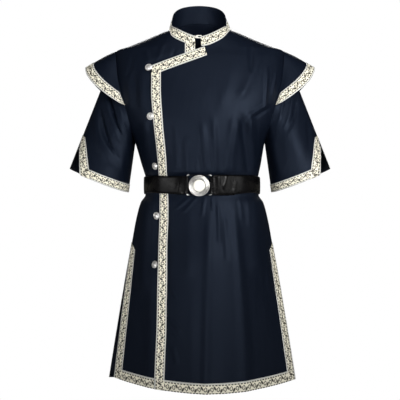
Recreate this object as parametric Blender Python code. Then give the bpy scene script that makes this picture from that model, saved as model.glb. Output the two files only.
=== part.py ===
"""A medieval tunic in its worn form, with nobody in it.

The front closes at the wearer's right with an over panel that laps on an under panel. The tunic has a
standing collar, stiff shoulder caps, elbow sleeves that are slit at the outer seam, a flared skirt that is
slit at both sides, woven trim on its edges, domed buttons and a leather belt with a round buckle.

Sizes are in metres, +Z is up and the front faces -Y. The origin lies midway between the two points where
the collar meets the shoulder seams.
"""

import math

import bmesh
import bpy
import numpy as np
from mathutils import Matrix

for found in list(bpy.data.objects):
    bpy.data.objects.remove(found, do_unlink=True)

FRONT, BACK = -1, 1
RIGHT, LEFT = -1, 1

# Walls and air
CLOTH_WALL = 0.0014
STIFF_WALL = 0.0020
TRIM_WALL = 0.0008
TRIM_WIDE = 0.025
AIR = 0.00035
SEAM_GAP = 0.0004

# Heights of the body, and its half width at the shoulder tip
SHOULDER_TIP = -0.056
SHOULDER_HALF = 0.2184
ARMPIT = -0.294
BELT_TOP = -0.383
BELT_LOW = -0.4265
SLIT_TOP = -0.553
HEM = -0.900
HEM_DROP = 0.0215

# Neck and collar
NECK_HALF = 0.0806
NECK_FRONT_DROP = 0.055
NECK_BACK_RISE = 0.027
NECK_SQUARE = 2.2
COLLAR_TOP_HALF = 0.073
COLLAR_TOP_FRONT = 0.0715
COLLAR_TOP_BACK = 0.061
COLLAR_TOP_SIDE = 0.035
COLLAR_FRONT_FALL = 0.063
COLLAR_FRONT_CURVE = 0.83
COLLAR_BACK_RISE = 0.037
COLLAR_BACK_CURVE = 0.43
COLLAR_FOOT_FRONT, COLLAR_FOOT_BACK = 0.0014, 0.0006
COLLAR_END_RIGHT = -0.0126
COLLAR_END_LEFT = 0.0042

# Front lap
CORNER_X, CORNER_Z = -0.1213, -0.1045
LAP_NECK_X, LAP_NECK_Z = 0.0106, -0.0556
UNDER_EDGE = -0.0126
LAP_DROP = 0.0036
SLIT_INSET = 0.0175

# Sleeves: the hem is an ellipse whose long axis runs from the outer corner to the inner bottom
SLEEVE_MIDDLE = (0.262, -0.3910)
SLEEVE_OUTWARD = (0.076, 0.0300)
SLEEVE_DEEP = 0.077
SLEEVE_HEM_DROP = 0.0048

# Shoulder caps
CAP_OUT, CAP_TOP = 0.2965, -0.1005
CAP_IN, CAP_FALL = 0.0985, 0.0914
CAP_DEEP = 0.065
CAP_END = -0.200
CAP_BULGE = 0.012
CAP_CURVE = 0.6
CAP_FOOT = 0.0011
CAP_LEAST_CLOTH = 0.14

# Belt and buckle
BELT_WALL = 0.0028
BELT_CLEAR = 0.0025
BELT_LIFT = 0.0058
BELT_COLUMNS = 60
BELT_TUCK = 0.013
BUCKLE_X, BUCKLE_Z = -0.0022, -0.4065
FRAME_HALF_WIDE = 0.0305
FRAME_HALF_TALL = 0.0245
FRAME_WIRE = 0.0014
FRAME_CORNER = 0.0025
RING_CLEAR = 0.0006

# Collar's hook and eye
HOOK_SHARE = 0.80
HOOK_WIRE = 0.0006
HOOK_CLEAR = 0.0004


def table(names, *rows):
    """Rows of sizes as one array for each named column."""
    return dict(zip(names.split(), np.array(rows, float).T))


BODY = table(
    "height middle half front back square corner",
    (0.035, 0.0000, 0.0745, 0.0560, 0.0620, 2.5, 0.50),
    (0.000, 0.0000, 0.0806, 0.0620, 0.0800, 2.5, 0.50),
    (-0.014, 0.0000, 0.1120, 0.0665, 0.0865, 2.5, 0.50),
    (-0.028, 0.0000, 0.1448, 0.0710, 0.0920, 2.5, 0.50),
    (-0.042, 0.0000, 0.1800, 0.0760, 0.0965, 2.5, 0.50),
    (-0.051, 0.0000, 0.2040, 0.0792, 0.0988, 2.5, 0.50),
    (-0.056, 0.0000, 0.2184, 0.0810, 0.1000, 2.5, 0.50),
    (-0.080, 0.0000, 0.2220, 0.0900, 0.1070, 2.5, 0.50),
    (-0.130, 0.0000, 0.2225, 0.1060, 0.1150, 2.5, 0.50),
    (-0.190, 0.0000, 0.2165, 0.1190, 0.1190, 2.5, 0.50),
    (-0.247, 0.0000, 0.1960, 0.1250, 0.1180, 2.5, 0.50),
    (-0.294, 0.0000, 0.1680, 0.1240, 0.1140, 2.5, 0.50),
    (-0.317, 0.0012, 0.1620, 0.1210, 0.1110, 2.4, 0.50),
    (-0.348, 0.0030, 0.1550, 0.1145, 0.1055, 2.3, 0.50),
    (-0.381, 0.0048, 0.1465, 0.1060, 0.0990, 2.2, 0.50),
    (-0.405, 0.0052, 0.1455, 0.1055, 0.0985, 2.2, 0.50),
    (-0.429, 0.0052, 0.1470, 0.1060, 0.0990, 2.2, 0.50),
    (-0.447, 0.0052, 0.1585, 0.1090, 0.1040, 2.2, 0.54),
    (-0.489, 0.0052, 0.1705, 0.1150, 0.1130, 2.1, 0.66),
    (-0.551, 0.0052, 0.1820, 0.1210, 0.1200, 2.0, 0.84),
    (-0.629, 0.0050, 0.1963, 0.1260, 0.1250, 2.0, 0.92),
    (-0.785, 0.0042, 0.2223, 0.1340, 0.1310, 2.0, 0.97),
    (-0.900, 0.0036, 0.2405, 0.1400, 0.1360, 2.0, 1.00),
    (-0.930, 0.0036, 0.2450, 0.1410, 0.1370, 2.0, 1.00),
)
ARMHOLE = table(
    "height x",
    (-0.056, 0.2184),
    (-0.080, 0.2160),
    (-0.130, 0.2106),
    (-0.190, 0.1950),
    (-0.247, 0.1790),
    (-0.294, 0.1680),
)
LAP_EDGE = table(
    "height x",
    (-0.1045, -0.1213),
    (-0.168, -0.1215),
    (-0.231, -0.1170),
    (-0.268, -0.1136),
    (-0.318, -0.1080),
    (-0.367, -0.1040),
    (-0.4295, -0.1012),
    (-0.479, -0.1013),
    (-0.541, -0.1034),
    (-0.640, -0.1059),
    (-0.763, -0.1078),
    (-0.837, -0.1110),
    (-0.925, -0.1140),
)
# Turns in degrees from the sleeve's outer line, at shares of its length: the vent's front edge, and the
# inner edges of the trim on its front and back
VENT = table(
    "length edge front back",
    (0.000, 0, 9.1, 9.1),
    (0.600, 0, 6.0, 6.0),
    (0.716, 0, 8.0, 6.0),
    (0.765, 0, 31.0, 13.0),
    (0.810, 0, 43.0, 18.0),
    (0.920, 38, 63.0, 18.0),
    (1.000, 49, 70.0, 18.0),
)
# Height that the slit edges stand off the side plane at the hem
SLIT_STAND = {(FRONT, RIGHT): 0.056, (FRONT, LEFT): 0.044, (BACK, RIGHT): 0.022, (BACK, LEFT): 0.026}

# Each fold is a soft ridge along a line, with its half width at both ends and its height
FRONT_FOLDS = table(
    "x_top top x_low low wide_top wide_low rise",
    (0.158, -0.074, 0.050, -0.230, 0.020, 0.017, 0.0055),
    (0.168, -0.105, 0.108, -0.205, 0.013, 0.012, 0.0040),
    (-0.052, -0.215, -0.026, -0.374, 0.017, 0.012, 0.0050),
    (-0.006, -0.240, 0.020, -0.384, 0.014, 0.009, 0.0045),
    (0.036, -0.225, 0.040, -0.384, 0.014, 0.009, 0.0048),
    (0.078, -0.230, 0.060, -0.384, 0.016, 0.010, 0.0050),
    (0.122, -0.220, 0.112, -0.374, 0.018, 0.014, 0.0050),
    (0.052, -0.424, 0.060, -0.930, 0.012, 0.040, 0.0085),
    (-0.026, -0.424, -0.030, -0.930, 0.012, 0.032, 0.0060),
    (0.112, -0.424, 0.150, -0.930, 0.012, 0.034, 0.0065),
    (-0.122, -0.424, -0.136, -0.780, 0.010, 0.020, 0.0045),
)
BACK_FOLDS = table(
    "x_top top x_low low wide_top wide_low rise",
    (-0.090, -0.230, -0.060, -0.384, 0.022, 0.014, 0.0045),
    (-0.020, -0.215, -0.012, -0.384, 0.022, 0.014, 0.0045),
    (0.062, -0.230, 0.048, -0.384, 0.022, 0.014, 0.0045),
    (-0.080, -0.424, -0.128, -0.930, 0.016, 0.036, 0.0070),
    (-0.010, -0.424, -0.020, -0.930, 0.016, 0.040, 0.0080),
    (0.072, -0.424, 0.095, -0.930, 0.016, 0.038, 0.0070),
)
# Ridges of the sleeves, by their turn from the outer line in degrees and their share of the length
SLEEVE_FOLDS = table(
    "turn_top top turn_low low wide rise",
    (112, 0.05, 84, 0.75, 15, 0.0050),
    (146, 0.10, 128, 0.85, 13, 0.0040),
)


def step(start, end, value):
    """Soft step from 0 at start to 1 at end."""
    t = np.clip((value - start) / (end - start), 0, 1)
    return t * t * (3 - 2 * t)


def mix(a, b, share):
    return a + (b - a) * share


def unit(v):
    return v / np.maximum(np.linalg.norm(v, axis=-1, keepdims=True), 1e-12)


def smooth(rows, name, at):
    """A table's column at a height, by a monotone cubic through its rows."""
    order = np.argsort(rows["height"])
    x, y = rows["height"][order], rows[name][order]
    gap = np.diff(x)
    rise = np.diff(y) / gap
    slope = np.zeros_like(y)
    slope[0], slope[-1] = rise[0], rise[-1]
    before, after = 2 * gap[1:] + gap[:-1], gap[1:] + 2 * gap[:-1]
    kept = rise[:-1] * rise[1:] > 0
    low, high = np.where(kept, rise[:-1], 1), np.where(kept, rise[1:], 1)
    slope[1:-1] = np.where(kept, (before + after) / (before / low + after / high), 0)
    at = np.clip(at, x[0], x[-1])
    k = np.clip(np.searchsorted(x, at) - 1, 0, len(gap) - 1)
    t = (at - x[k]) / gap[k]
    start = (1 + 2 * t) * (1 - t) ** 2 * y[k] + t * (1 - t) ** 2 * gap[k] * slope[k]
    return start + t * t * (3 - 2 * t) * y[k + 1] + t * t * (t - 1) * gap[k] * slope[k + 1]


def slit_share(z):
    """How far down its slit a height is, from 0 at the top to 1 at the hem."""
    return np.clip((SLIT_TOP - z) / (SLIT_TOP - HEM), 0, 1.1)


def half_width(x, z, side):
    """Half the body's width; the front's right edge is set in along its slit."""
    return smooth(BODY, "half", z) - (x < 0) * (side == FRONT) * SLIT_INSET * slit_share(z)


def body_share(x, z, side):
    """How far out x is, from 0 on the body's middle line to 1 at its side edge."""
    return np.clip(np.abs(x - smooth(BODY, "middle", z)) / half_width(x, z, side), 0, 1)


def fold_height(side, x, z):
    """Height of the soft ridges of one side of the body, pressed flat under the belt."""
    total = np.zeros(np.broadcast(x, z).shape)
    rows = FRONT_FOLDS if side == FRONT else BACK_FOLDS
    for x_top, top, x_low, low, wide_top, wide_low, rise in zip(*rows.values()):
        along = (top - z) / (top - low)
        wide = mix(wide_top, wide_low, np.clip(along, 0, 1))
        fade = step(0, 0.25, along) * (step(1, 0.8, along) if low > HEM else 1)
        total = total + rise * fade * np.exp(-(((x - mix(x_top, x_low, along)) / wide) ** 2))
    return total * mix(0.12, 1, step(0.021, 0.060, np.abs(z - (BELT_TOP + BELT_LOW) / 2)))


def body_depth(side, x, z, folded=True):
    """Y of the cloth's outer face at (x, z) on the front or the back of the body."""
    across = body_share(x, z, side)
    deep = smooth(BODY, "front" if side == FRONT else "back", z)
    edge = slit_share(z) * mix(SLIT_STAND[side, RIGHT], SLIT_STAND[side, LEFT], step(-0.2, 0.2, x))
    arch = (1 - across ** smooth(BODY, "square", z)) ** smooth(BODY, "corner", z)
    out = SEAM_GAP / 2 + edge + (deep - edge) * arch
    if folded:
        out = out + fold_height(side, x, z) * (1 - across**4)
    return side * out


def lap_edge(z):
    return smooth(LAP_EDGE, "x", z)


def lap_top(x):
    """Height of the over panel's slanted top edge."""
    return mix(CORNER_Z, LAP_NECK_Z, (x - CORNER_X) / (LAP_NECK_X - CORNER_X))


def lap_drop(x, z):
    """How far the under panel lies inside the body's face, below the over panel."""
    inside = np.minimum(x - lap_edge(z), lap_top(x) - z)
    return LAP_DROP * step(-0.020, -0.001, inside)


def neck_height(side, x):
    depth = -NECK_FRONT_DROP if side == FRONT else NECK_BACK_RISE
    return depth * (1 - np.clip(np.abs(x) / NECK_HALF, 0, 1) ** NECK_SQUARE)


def shoulder_heights(count):
    """Heights along the shoulder seam from the neck to the tip, evenly spaced by its x."""
    z = np.linspace(0, SHOULDER_TIP, 400)
    share = (smooth(BODY, "half", z) - NECK_HALF) / (SHOULDER_HALF - NECK_HALF)
    return np.interp(np.linspace(0, 1, count), share, z)


def sag(x, z, side):
    """How far a level row of the skirt hangs lower at x."""
    across = body_share(x, z, side)
    return HEM_DROP * np.clip((BELT_LOW - z) / (BELT_LOW - HEM), 0, 1) * (1 - across**2)


# Levels of the rows below the armpit, and the rows next to the armpit and the top edge
LEVELS = (HEM, HEM + TRIM_WIDE, -0.83, -0.77, -0.70, -0.63, -0.585, SLIT_TOP, -0.512, -0.475, -0.447, -0.428,
          -0.405, -0.3815, -0.360, -0.330, ARMPIT)
ABOVE_ARMPIT = (0.003, 0.012, 0.028)
BELOW_TOP = (0.026, 0.0133, 0.005, 0.0015, 0.0)
BETWEEN = 4
SLIT_ROW = LEVELS.index(SLIT_TOP)
ARM_ROW = LEVELS.index(ARMPIT)


def level_row(side, level, left, right, stops, counts):
    """(x, z) of one row below the armpit: stops are lengths along it, with evenly spaced columns between."""
    turn = np.linspace(0, math.pi, 400)
    x = mix(left, right, (1 - np.cos(turn)) / 2)
    z = level - sag(x, level, side)
    run = np.stack([x, body_depth(side, x, z), z], -1)
    length = np.concatenate([[0], np.cumsum(np.linalg.norm(np.diff(run, axis=0), axis=1))])
    marks = stops(x, z, length)
    spots = [np.linspace(a, b, n, endpoint=False) for a, b, n in zip(marks, marks[1:], counts)]
    spots = np.append(np.concatenate(spots), marks[-1])
    return np.stack([np.interp(spots, length, x), np.interp(spots, length, z)], -1)


def panel_plan(side, left, right, stops, counts, top):
    """(x, z) of a body panel's points: level rows up to the armpit, then rows that turn into the top edge."""
    rows = []
    for level in LEVELS:
        a, b = left(level), right(level)
        a, b = left(level - sag(a, level, side)), right(level - sag(b, level, side))
        rows.append(level_row(side, level, a, b, stops, counts))
    base = rows[-1]
    tall = top[:, 1] - base[:, 1]
    middle = np.linspace(0, 1, BETWEEN + 2)[1:-1, None]
    low, high = np.array(ABOVE_ARMPIT)[:, None], tall - np.array(BELOW_TOP)[:, None]
    heights = np.concatenate([low * np.ones_like(tall), mix(low[-1], high[0], middle), high])
    across = np.linspace(0, 1, len(base))
    share = heights / tall
    z = base[:, 1] + heights
    x = mix(base[:, 0], top[:, 0], share)
    x = x + (1 - across) * (left(z[:, :1]) - x[:, :1]) + across * (right(z[:, -1:]) - x[:, -1:])
    return np.concatenate([np.array(rows), np.stack([x, z], -1)])


def face_normals(grid, out):
    """Unit normals of a grid of points, on the side that out says."""
    return unit(out * np.cross(np.gradient(grid, axis=1), np.gradient(grid, axis=0)))


def flat_in_y(normals):
    """Normals at a seam in the side plane, turned into that plane so that both walls end on it."""
    return unit(normals * np.array([1, 0, 1]))


def material(name, colour, metallic=0.0, roughness=0.6):
    made = bpy.data.materials.new(name)
    made.use_nodes = True
    shader = made.node_tree.nodes["Principled BSDF"]
    shader.inputs["Base Color"].default_value = (*colour, 1)
    shader.inputs["Metallic"].default_value = metallic
    shader.inputs["Roughness"].default_value = roughness
    return made


def put(name, points, faces, colour, metallic=0.0, roughness=0.6):
    """A named object from points and faces, with its own material."""
    mesh = bpy.data.meshes.new(name)
    mesh.from_pydata(np.asarray(points).tolist(), [], [list(map(int, face)) for face in faces])
    mesh.materials.append(material(name, colour, metallic, roughness))
    made = bpy.data.objects.new(name, mesh)
    bpy.context.scene.collection.objects.link(made)
    return made


def wall(name, outer, inner, colour, roughness=0.6):
    """A closed wall between two grids of points, its outer face turned out."""
    rows, columns = outer.shape[:2]
    number = np.arange(rows * columns).reshape(rows, columns)
    a, b, c, d = (n.ravel() for n in (number[:-1, :-1], number[:-1, 1:], number[1:, 1:], number[1:, :-1]))
    front = np.concatenate([np.stack([a, b, c], 1), np.stack([a, c, d], 1)])
    rim = np.concatenate([number[0], number[1:, -1], number[-1, -2::-1], number[-2:0:-1, 0]])
    after = np.roll(rim, -1)
    far = rows * columns
    edge = [np.stack([rim, rim + far, after + far], 1), np.stack([rim, after + far, after], 1)]
    faces = np.concatenate([front, front[:, ::-1] + far, *edge])
    points = np.concatenate([outer.reshape(-1, 3), inner.reshape(-1, 3)])
    u, v, w = (points[faces[:, k]] for k in range(3))
    if (u * np.cross(v, w)).sum() < 0:
        faces = faces[:, ::-1]
    return put(name, points, faces, colour, roughness=roughness)


def sample(grid, row, column):
    """Points of a grid at fractional rows and columns."""
    r, c = np.floor(row).astype(int), np.floor(column).astype(int)
    r, c = np.minimum(r, grid.shape[0] - 2), np.minimum(c, grid.shape[1] - 2)
    u, v = (row - r)[..., None], (column - c)[..., None]
    near = mix(grid[r, c], grid[r, c + 1], v)
    return mix(near, mix(grid[r + 1, c], grid[r + 1, c + 1], v), u)


def trim(name, panel, row, column):
    """Woven trim: a thin wall over a panel's own points, moved out; points between them go further."""
    outer, normals = panel
    out = unit(sample(normals, row, column))
    between = 4 * (row % 1) * (1 - row % 1)
    points = sample(outer, row, column) + out * AIR * between[..., None]
    return wall(name, points + out * (AIR + TRIM_WALL), points + out * AIR, CREAM, 0.5)


def cells(rows, columns):
    """Row and column numbers of a part of a panel, as two grids."""
    row, column = np.meshgrid(np.array(rows, float), np.array(columns, float), indexing="ij")
    return row, column


NAVY = (0.010, 0.013, 0.025)
CREAM = (0.42, 0.36, 0.24)
LEATHER = (0.012, 0.011, 0.011)
SILVER = (0.72, 0.71, 0.68)


def arm_x(z):
    return smooth(ARMHOLE, "x", z)


def neckline(side, xs):
    return np.stack([xs, neck_height(side, xs)], -1)


def shoulder(hand, count):
    z = shoulder_heights(count)
    return np.stack([hand * smooth(BODY, "half", z), z], -1)


def side_edge(hand, side):
    """X of a panel's outer edge: its side seam and slit, then its armhole."""
    def edge(z):
        body = smooth(BODY, "middle", z) + hand * half_width(np.full(np.shape(z), float(hand)), z, side)
        return np.where(np.asarray(z) > ARMPIT, hand * arm_x(z), body)
    return edge


def lap_spot(x, z, length):
    """Length along a row at which the over panel's edge crosses it."""
    return np.interp(0, x - lap_edge(z), length)


# Columns of the three panels: lengths along a level row, and how many columns between them
UNDER_COUNTS = (1, 1, 3, 1, 1, 2, 2)
OVER_COUNTS = (1, 19, 1, 1)
BACK_COUNTS = (1, 1, 17, 1, 1)


def under_stops(x, z, length):
    lap, end = lap_spot(x, z, length), length[-1]
    return [0, TRIM_WIDE / 2, TRIM_WIDE, lap - 0.022, lap - 0.0012, lap + 0.013, end - TRIM_WIDE, end]


def over_stops(x, z, length):
    end = length[-1]
    return [0, TRIM_WIDE, end - TRIM_WIDE, end - TRIM_WIDE / 2, end]


def back_stops(x, z, length):
    end = length[-1]
    return [0, TRIM_WIDE / 2, TRIM_WIDE, end - TRIM_WIDE, end - TRIM_WIDE / 2, end]


# Turns about the neck of the points that the panels share with the collar
STRIP_INNER = UNDER_EDGE - TRIM_WIDE
over_turns = np.linspace(math.asin(LAP_NECK_X / NECK_HALF), math.pi / 2, 9)
back_turns = np.linspace(-math.pi / 2, math.pi / 2, 14)
under_turns = np.linspace(-math.pi / 2, math.asin(STRIP_INNER / NECK_HALF), 6)
under_strip = np.linspace(STRIP_INNER, UNDER_EDGE, 3)[1:]
SHOULDER_COLUMNS = {"front_under": 5, "front_over": 7, "back": 5}
under_top = np.concatenate([
    shoulder(RIGHT, SHOULDER_COLUMNS["front_under"])[::-1],
    neckline(FRONT, NECK_HALF * np.sin(under_turns[1:])),
    neckline(FRONT, under_strip),
])
diagonal_x = np.concatenate([[CORNER_X], np.linspace(CORNER_X + 0.0235, LAP_NECK_X, 8)])
over_top = np.concatenate([
    np.stack([diagonal_x, lap_top(diagonal_x)], -1),
    neckline(FRONT, NECK_HALF * np.sin(over_turns[1:])),
    shoulder(LEFT, SHOULDER_COLUMNS["front_over"])[1:],
])
back_top = np.concatenate([
    shoulder(RIGHT, SHOULDER_COLUMNS["back"])[::-1],
    neckline(BACK, NECK_HALF * np.sin(back_turns[1:-1])),
    shoulder(LEFT, SHOULDER_COLUMNS["back"]),
])
DIAGONAL_END = len(diagonal_x) - 1

PANEL_SIDES = {"front_under": FRONT, "front_over": FRONT, "back": BACK}


def under_edge(z):
    return np.full(np.shape(z), UNDER_EDGE)


under_right, over_left = side_edge(RIGHT, FRONT), side_edge(LEFT, FRONT)
back_right, back_left = side_edge(RIGHT, BACK), side_edge(LEFT, BACK)
plans = {
    "front_under": panel_plan(FRONT, under_right, under_edge, under_stops, UNDER_COUNTS, under_top),
    "front_over": panel_plan(FRONT, lap_edge, over_left, over_stops, OVER_COUNTS, over_top),
    "back": panel_plan(BACK, back_right, back_left, back_stops, BACK_COUNTS, back_top),
}


def panel_points(name):
    """Outer points of a body panel."""
    x, z = plans[name][..., 0], plans[name][..., 1]
    y = body_depth(PANEL_SIDES[name], x, z)
    if name == "front_under":
        y = y + lap_drop(x, z)
    return np.stack([x, y, z], -1)


points = {name: panel_points(name) for name in plans}
normals = {name: face_normals(grid, -PANEL_SIDES[name]) for name, grid in points.items()}

# The two panels and the column that meet at each armhole
ARM_COLUMNS = {(RIGHT, FRONT): ("front_under", 0), (LEFT, FRONT): ("front_over", -1),
               (RIGHT, BACK): ("back", 0), (LEFT, BACK): ("back", -1)}
for hand, name in ((RIGHT, "front_under"), (LEFT, "front_over"), (RIGHT, "back"), (LEFT, "back")):
    count = SHOULDER_COLUMNS[name]
    columns = slice(0, count) if hand == RIGHT else slice(-count, None)
    normals[name][-1, columns] = flat_in_y(normals[name][-1, columns])
for name, column in ARM_COLUMNS.values():
    normals[name][SLIT_ROW:ARM_ROW + 1, column] = flat_in_y(normals[name][SLIT_ROW:ARM_ROW + 1, column])

# Sleeves
ARM_MIDDLE, ARM_HALF = (SHOULDER_TIP + ARMPIT) / 2, (SHOULDER_TIP - ARMPIT) / 2
SLEEVE_ROWS = (0, 0.10, 0.22, 0.38, 0.58, 0.776, 0.867, 1)
VENT_ROW = SLEEVE_ROWS.index(0.776)
arm_turns = np.arccos(np.clip((points["back"][ARM_ROW:, -1, 2][::-1] - ARM_MIDDLE) / ARM_HALF, -1, 1))


def armhole(side, hand, turn):
    """Points of the armhole seam, by their turn from the shoulder tip towards the armpit."""
    z = ARM_MIDDLE + ARM_HALF * np.cos(turn)
    x = arm_x(z)
    return np.stack([hand * x, body_depth(side, hand * x, z), z], -1)


def sleeve_hem(side, hand, turn):
    along, across = np.cos(turn), np.sin(turn)
    x = SLEEVE_MIDDLE[0] + SLEEVE_OUTWARD[0] * along
    y = side * (SEAM_GAP / 2 + SLEEVE_DEEP * across)
    z = SLEEVE_MIDDLE[1] + SLEEVE_OUTWARD[1] * along - SLEEVE_HEM_DROP * across
    return np.stack([hand * x, y, z], -1)


def sleeve_points(side, hand):
    """Outer points of half a sleeve: rows from armhole to hem, columns from outer line to underarm."""

    def turns(length):
        edge = np.interp(length[:, 0], VENT["length"], VENT["edge"] * (side == FRONT))
        inner = np.interp(length[:, 1], VENT["length"], VENT["front" if side == FRONT else "back"])
        edge, inner = np.radians(edge)[:, None], np.radians(inner)[:, None]
        rest = (arm_turns[2:] - arm_turns[1]) / (math.pi - arm_turns[1])
        return np.concatenate([edge, inner, mix(inner, math.pi, rest)], 1)

    hem_turn = turns(np.ones((1, len(arm_turns))))[0]
    long = np.linalg.norm(sleeve_hem(side, hand, hem_turn) - armhole(side, hand, hem_turn), axis=-1)
    length = np.concatenate([np.outer(SLEEVE_ROWS, 1 - TRIM_WIDE / long), np.ones((1, len(long)))])
    turn = turns(length)
    start = armhole(side, hand, turn) + np.array([hand * SEAM_GAP * 1.3, 0, 0])
    grid = mix(start, sleeve_hem(side, hand, turn), length[..., None])
    out = np.stack([hand * np.cos(turn) * 0.93, side * np.sin(turn), np.cos(turn) * 0.37], -1)
    rise = np.zeros_like(turn)
    for turn_top, top, turn_low, low, wide, height in zip(*SLEEVE_FOLDS.values()):
        along = (length - top) / (low - top)
        off = np.degrees(turn) - mix(turn_top, turn_low, along)
        rise += height * step(0, 0.3, along) * step(1, 0.7, along) * np.exp(-((off / wide) ** 2))
    return grid + out * rise[..., None]


HANDS = {RIGHT: "right", LEFT: "left"}
SIDES = {FRONT: "front", BACK: "back"}
for hand, hand_name in HANDS.items():
    for side, side_name in SIDES.items():
        name = f"sleeve_{side_name}_{hand_name}"
        points[name] = sleeve_points(side, hand)
        normals[name] = face_normals(points[name], -side * hand)
        normals[name][:, -1] = flat_in_y(normals[name][:, -1])
        normals[name][:VENT_ROW + 2, 0] = flat_in_y(normals[name][:VENT_ROW + 2, 0])
        panel, column = ARM_COLUMNS[hand, side]
        body = normals[panel][ARM_ROW:, column][::-1]
        own = normals[name][0].copy()
        meet = step(-0.5, 0.1, (body * own).sum(-1, keepdims=True))
        normals[name][0] = unit(mix(own, unit(body + own), meet))
        normals[panel][ARM_ROW:, column] = unit(mix(body, unit(body + own), meet))[::-1]
        normals[name][0, (0, -1)] = flat_in_y(normals[name][0, (0, -1)])
        normals[panel][(ARM_ROW, -1), column] = flat_in_y(normals[panel][(ARM_ROW, -1), column])

for name in points:
    wall(name, points[name], points[name] - normals[name] * CLOTH_WALL, NAVY, 0.45)

# Shoulder caps
for hand, hand_name in HANDS.items():
    kept = [k for k, turn in enumerate(arm_turns) if ARM_MIDDLE + ARM_HALF * math.cos(turn) > CAP_END - 0.001]
    runs = []
    for side in (FRONT, BACK):
        panel, column = ARM_COLUMNS[hand, side]
        seam = points[panel][ARM_ROW:, column][::-1][kept]
        out = normals[panel][ARM_ROW:, column][::-1][kept]
        swing = side * math.pi / 2 * arm_turns[kept] / arm_turns[kept[-1]]
        runs.append((seam, out, swing))
    seam, out, swing = (np.concatenate([a[:0:-1], b]) for a, b in zip(*runs))
    seam = seam + out * CAP_FOOT
    fall = 1 - np.cos(swing)
    edge_z = CAP_TOP - CAP_FALL * fall**CAP_CURVE
    edge = np.stack([hand * (CAP_OUT - CAP_IN * fall), CAP_DEEP * np.sin(swing), edge_z], -1)
    long = np.linalg.norm(edge - seam, axis=-1)
    strip = np.maximum(CAP_LEAST_CLOTH, 1 - TRIM_WIDE / long)
    share = np.stack([0 * strip, 0.5 * strip, strip, (1 + strip) / 2, 1 + 0 * strip])
    cap = mix(seam, edge, share[..., None])
    lift = face_normals(cap, -hand)
    cap = cap + lift * (CAP_BULGE * long * 4 * share * (1 - share))[..., None]
    cap_normals = face_normals(cap, -hand)
    cap_normals[:, (0, -1)] = out[[0, -1]]
    cap_out = cap + cap_normals * STIFF_WALL
    wall(f"cap_{hand_name}", cap_out, cap, NAVY, 0.45)
    columns = np.linspace(0, len(swing) - 1, len(swing))
    trim(f"trim_cap_{hand_name}", (cap_out, cap_normals), *cells((2, 3, 4), columns))

# Collar
around = np.concatenate([
    [math.asin(COLLAR_END_LEFT / NECK_HALF)],
    over_turns,
    math.pi - back_turns[::-1][1:],
    2 * math.pi + under_turns[1:],
    2 * math.pi + np.arcsin(under_strip / NECK_HALF),
])
front_part = np.cos(around) > 0
base_x = NECK_HALF * np.sin(around)
base_z = np.where(front_part, neck_height(FRONT, base_x), neck_height(BACK, base_x))
base_y = np.where(front_part, body_depth(FRONT, base_x, base_z), body_depth(BACK, base_x, base_z))
base = np.stack([base_x, base_y, base_z], -1)
top_y = np.where(front_part, -COLLAR_TOP_FRONT, -COLLAR_TOP_BACK) * np.cos(around)
turned_to = np.abs(np.cos(around))
front_z = COLLAR_TOP_SIDE - COLLAR_FRONT_FALL * turned_to**COLLAR_FRONT_CURVE
back_z = COLLAR_TOP_SIDE + COLLAR_BACK_RISE * turned_to**COLLAR_BACK_CURVE
top_z = np.where(front_part, front_z, back_z)
collar_top = np.stack([COLLAR_TOP_HALF * np.sin(around), top_y, top_z], -1)
tall = np.linalg.norm(collar_top - base, axis=-1)
strip = np.minimum(TRIM_WIDE / tall, 0.96)
start = np.where(front_part, COLLAR_FOOT_FRONT, COLLAR_FOOT_BACK) / tall
shares = (start, (start + strip) / 2, strip, np.ones_like(strip))
collar = np.stack([mix(base, collar_top, share[:, None]) for share in shares])
collar_normals = face_normals(collar, 1)
wall("collar", collar, collar - collar_normals * STIFF_WALL, NAVY, 0.45)
trim("trim_collar", (collar, collar_normals), *cells((0.06, 1, 2), np.arange(len(around))))

# Trim of the body panels
under, over, back = ((points[name], normals[name]) for name in ("front_under", "front_over", "back"))
UNDER_LAST, OVER_LAST, BACK_LAST = (panel[0].shape[1] - 1 for panel in (under, over, back))
TOP_ROW = under[0].shape[0] - 1
STRIP_ROW = TOP_ROW - len(BELOW_TOP) + 1
LAP_COLUMN = sum(UNDER_COUNTS[:4])
BUTT = 0.02


def slit_trim(name, panel, columns):
    """Trim along a slit, from the hem to a slanted top; columns run from the slit's edge inward."""
    row, column = cells(range(SLIT_ROW + 1), columns)
    row[-1] = SLIT_ROW - np.array((0.0, 0.28, 0.56))
    order = slice(None) if columns[0] < columns[-1] else slice(None, None, -1)
    trim(name, panel, row[:, order], column[:, order])


slit_trim("trim_slit_front_right", under, (0.0, 1.0, 2.0 - BUTT))
slit_trim("trim_slit_front_left", over, (OVER_LAST, OVER_LAST - 1.0, OVER_LAST - 2.0 + BUTT))
slit_trim("trim_slit_back_right", back, (0.0, 1.0, 2.0 - BUTT))
slit_trim("trim_slit_back_left", back, (BACK_LAST, BACK_LAST - 1.0, BACK_LAST - 2.0 + BUTT))
trim("trim_hem_under", under, *cells((0, 1), range(2, LAP_COLUMN + 1)))
trim("trim_hem_over", over, *cells((0, 1), [1 + BUTT, *range(2, OVER_LAST - 1)]))
trim("trim_hem_back", back, *cells((0, 1), range(2, BACK_LAST - 1)))
trim("trim_lap", over, *cells([*range(STRIP_ROW), STRIP_ROW - BUTT], (0, 1)))
trim("trim_diagonal", over, *cells(range(STRIP_ROW, TOP_ROW + 1), range(DIAGONAL_END + 1)))
neck_rows = [STRIP_ROW - 1.0, *range(STRIP_ROW, TOP_ROW), TOP_ROW - 0.35]
trim("trim_neck", under, *cells(neck_rows, (UNDER_LAST - 2.0, UNDER_LAST - 1.0, UNDER_LAST)))

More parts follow.
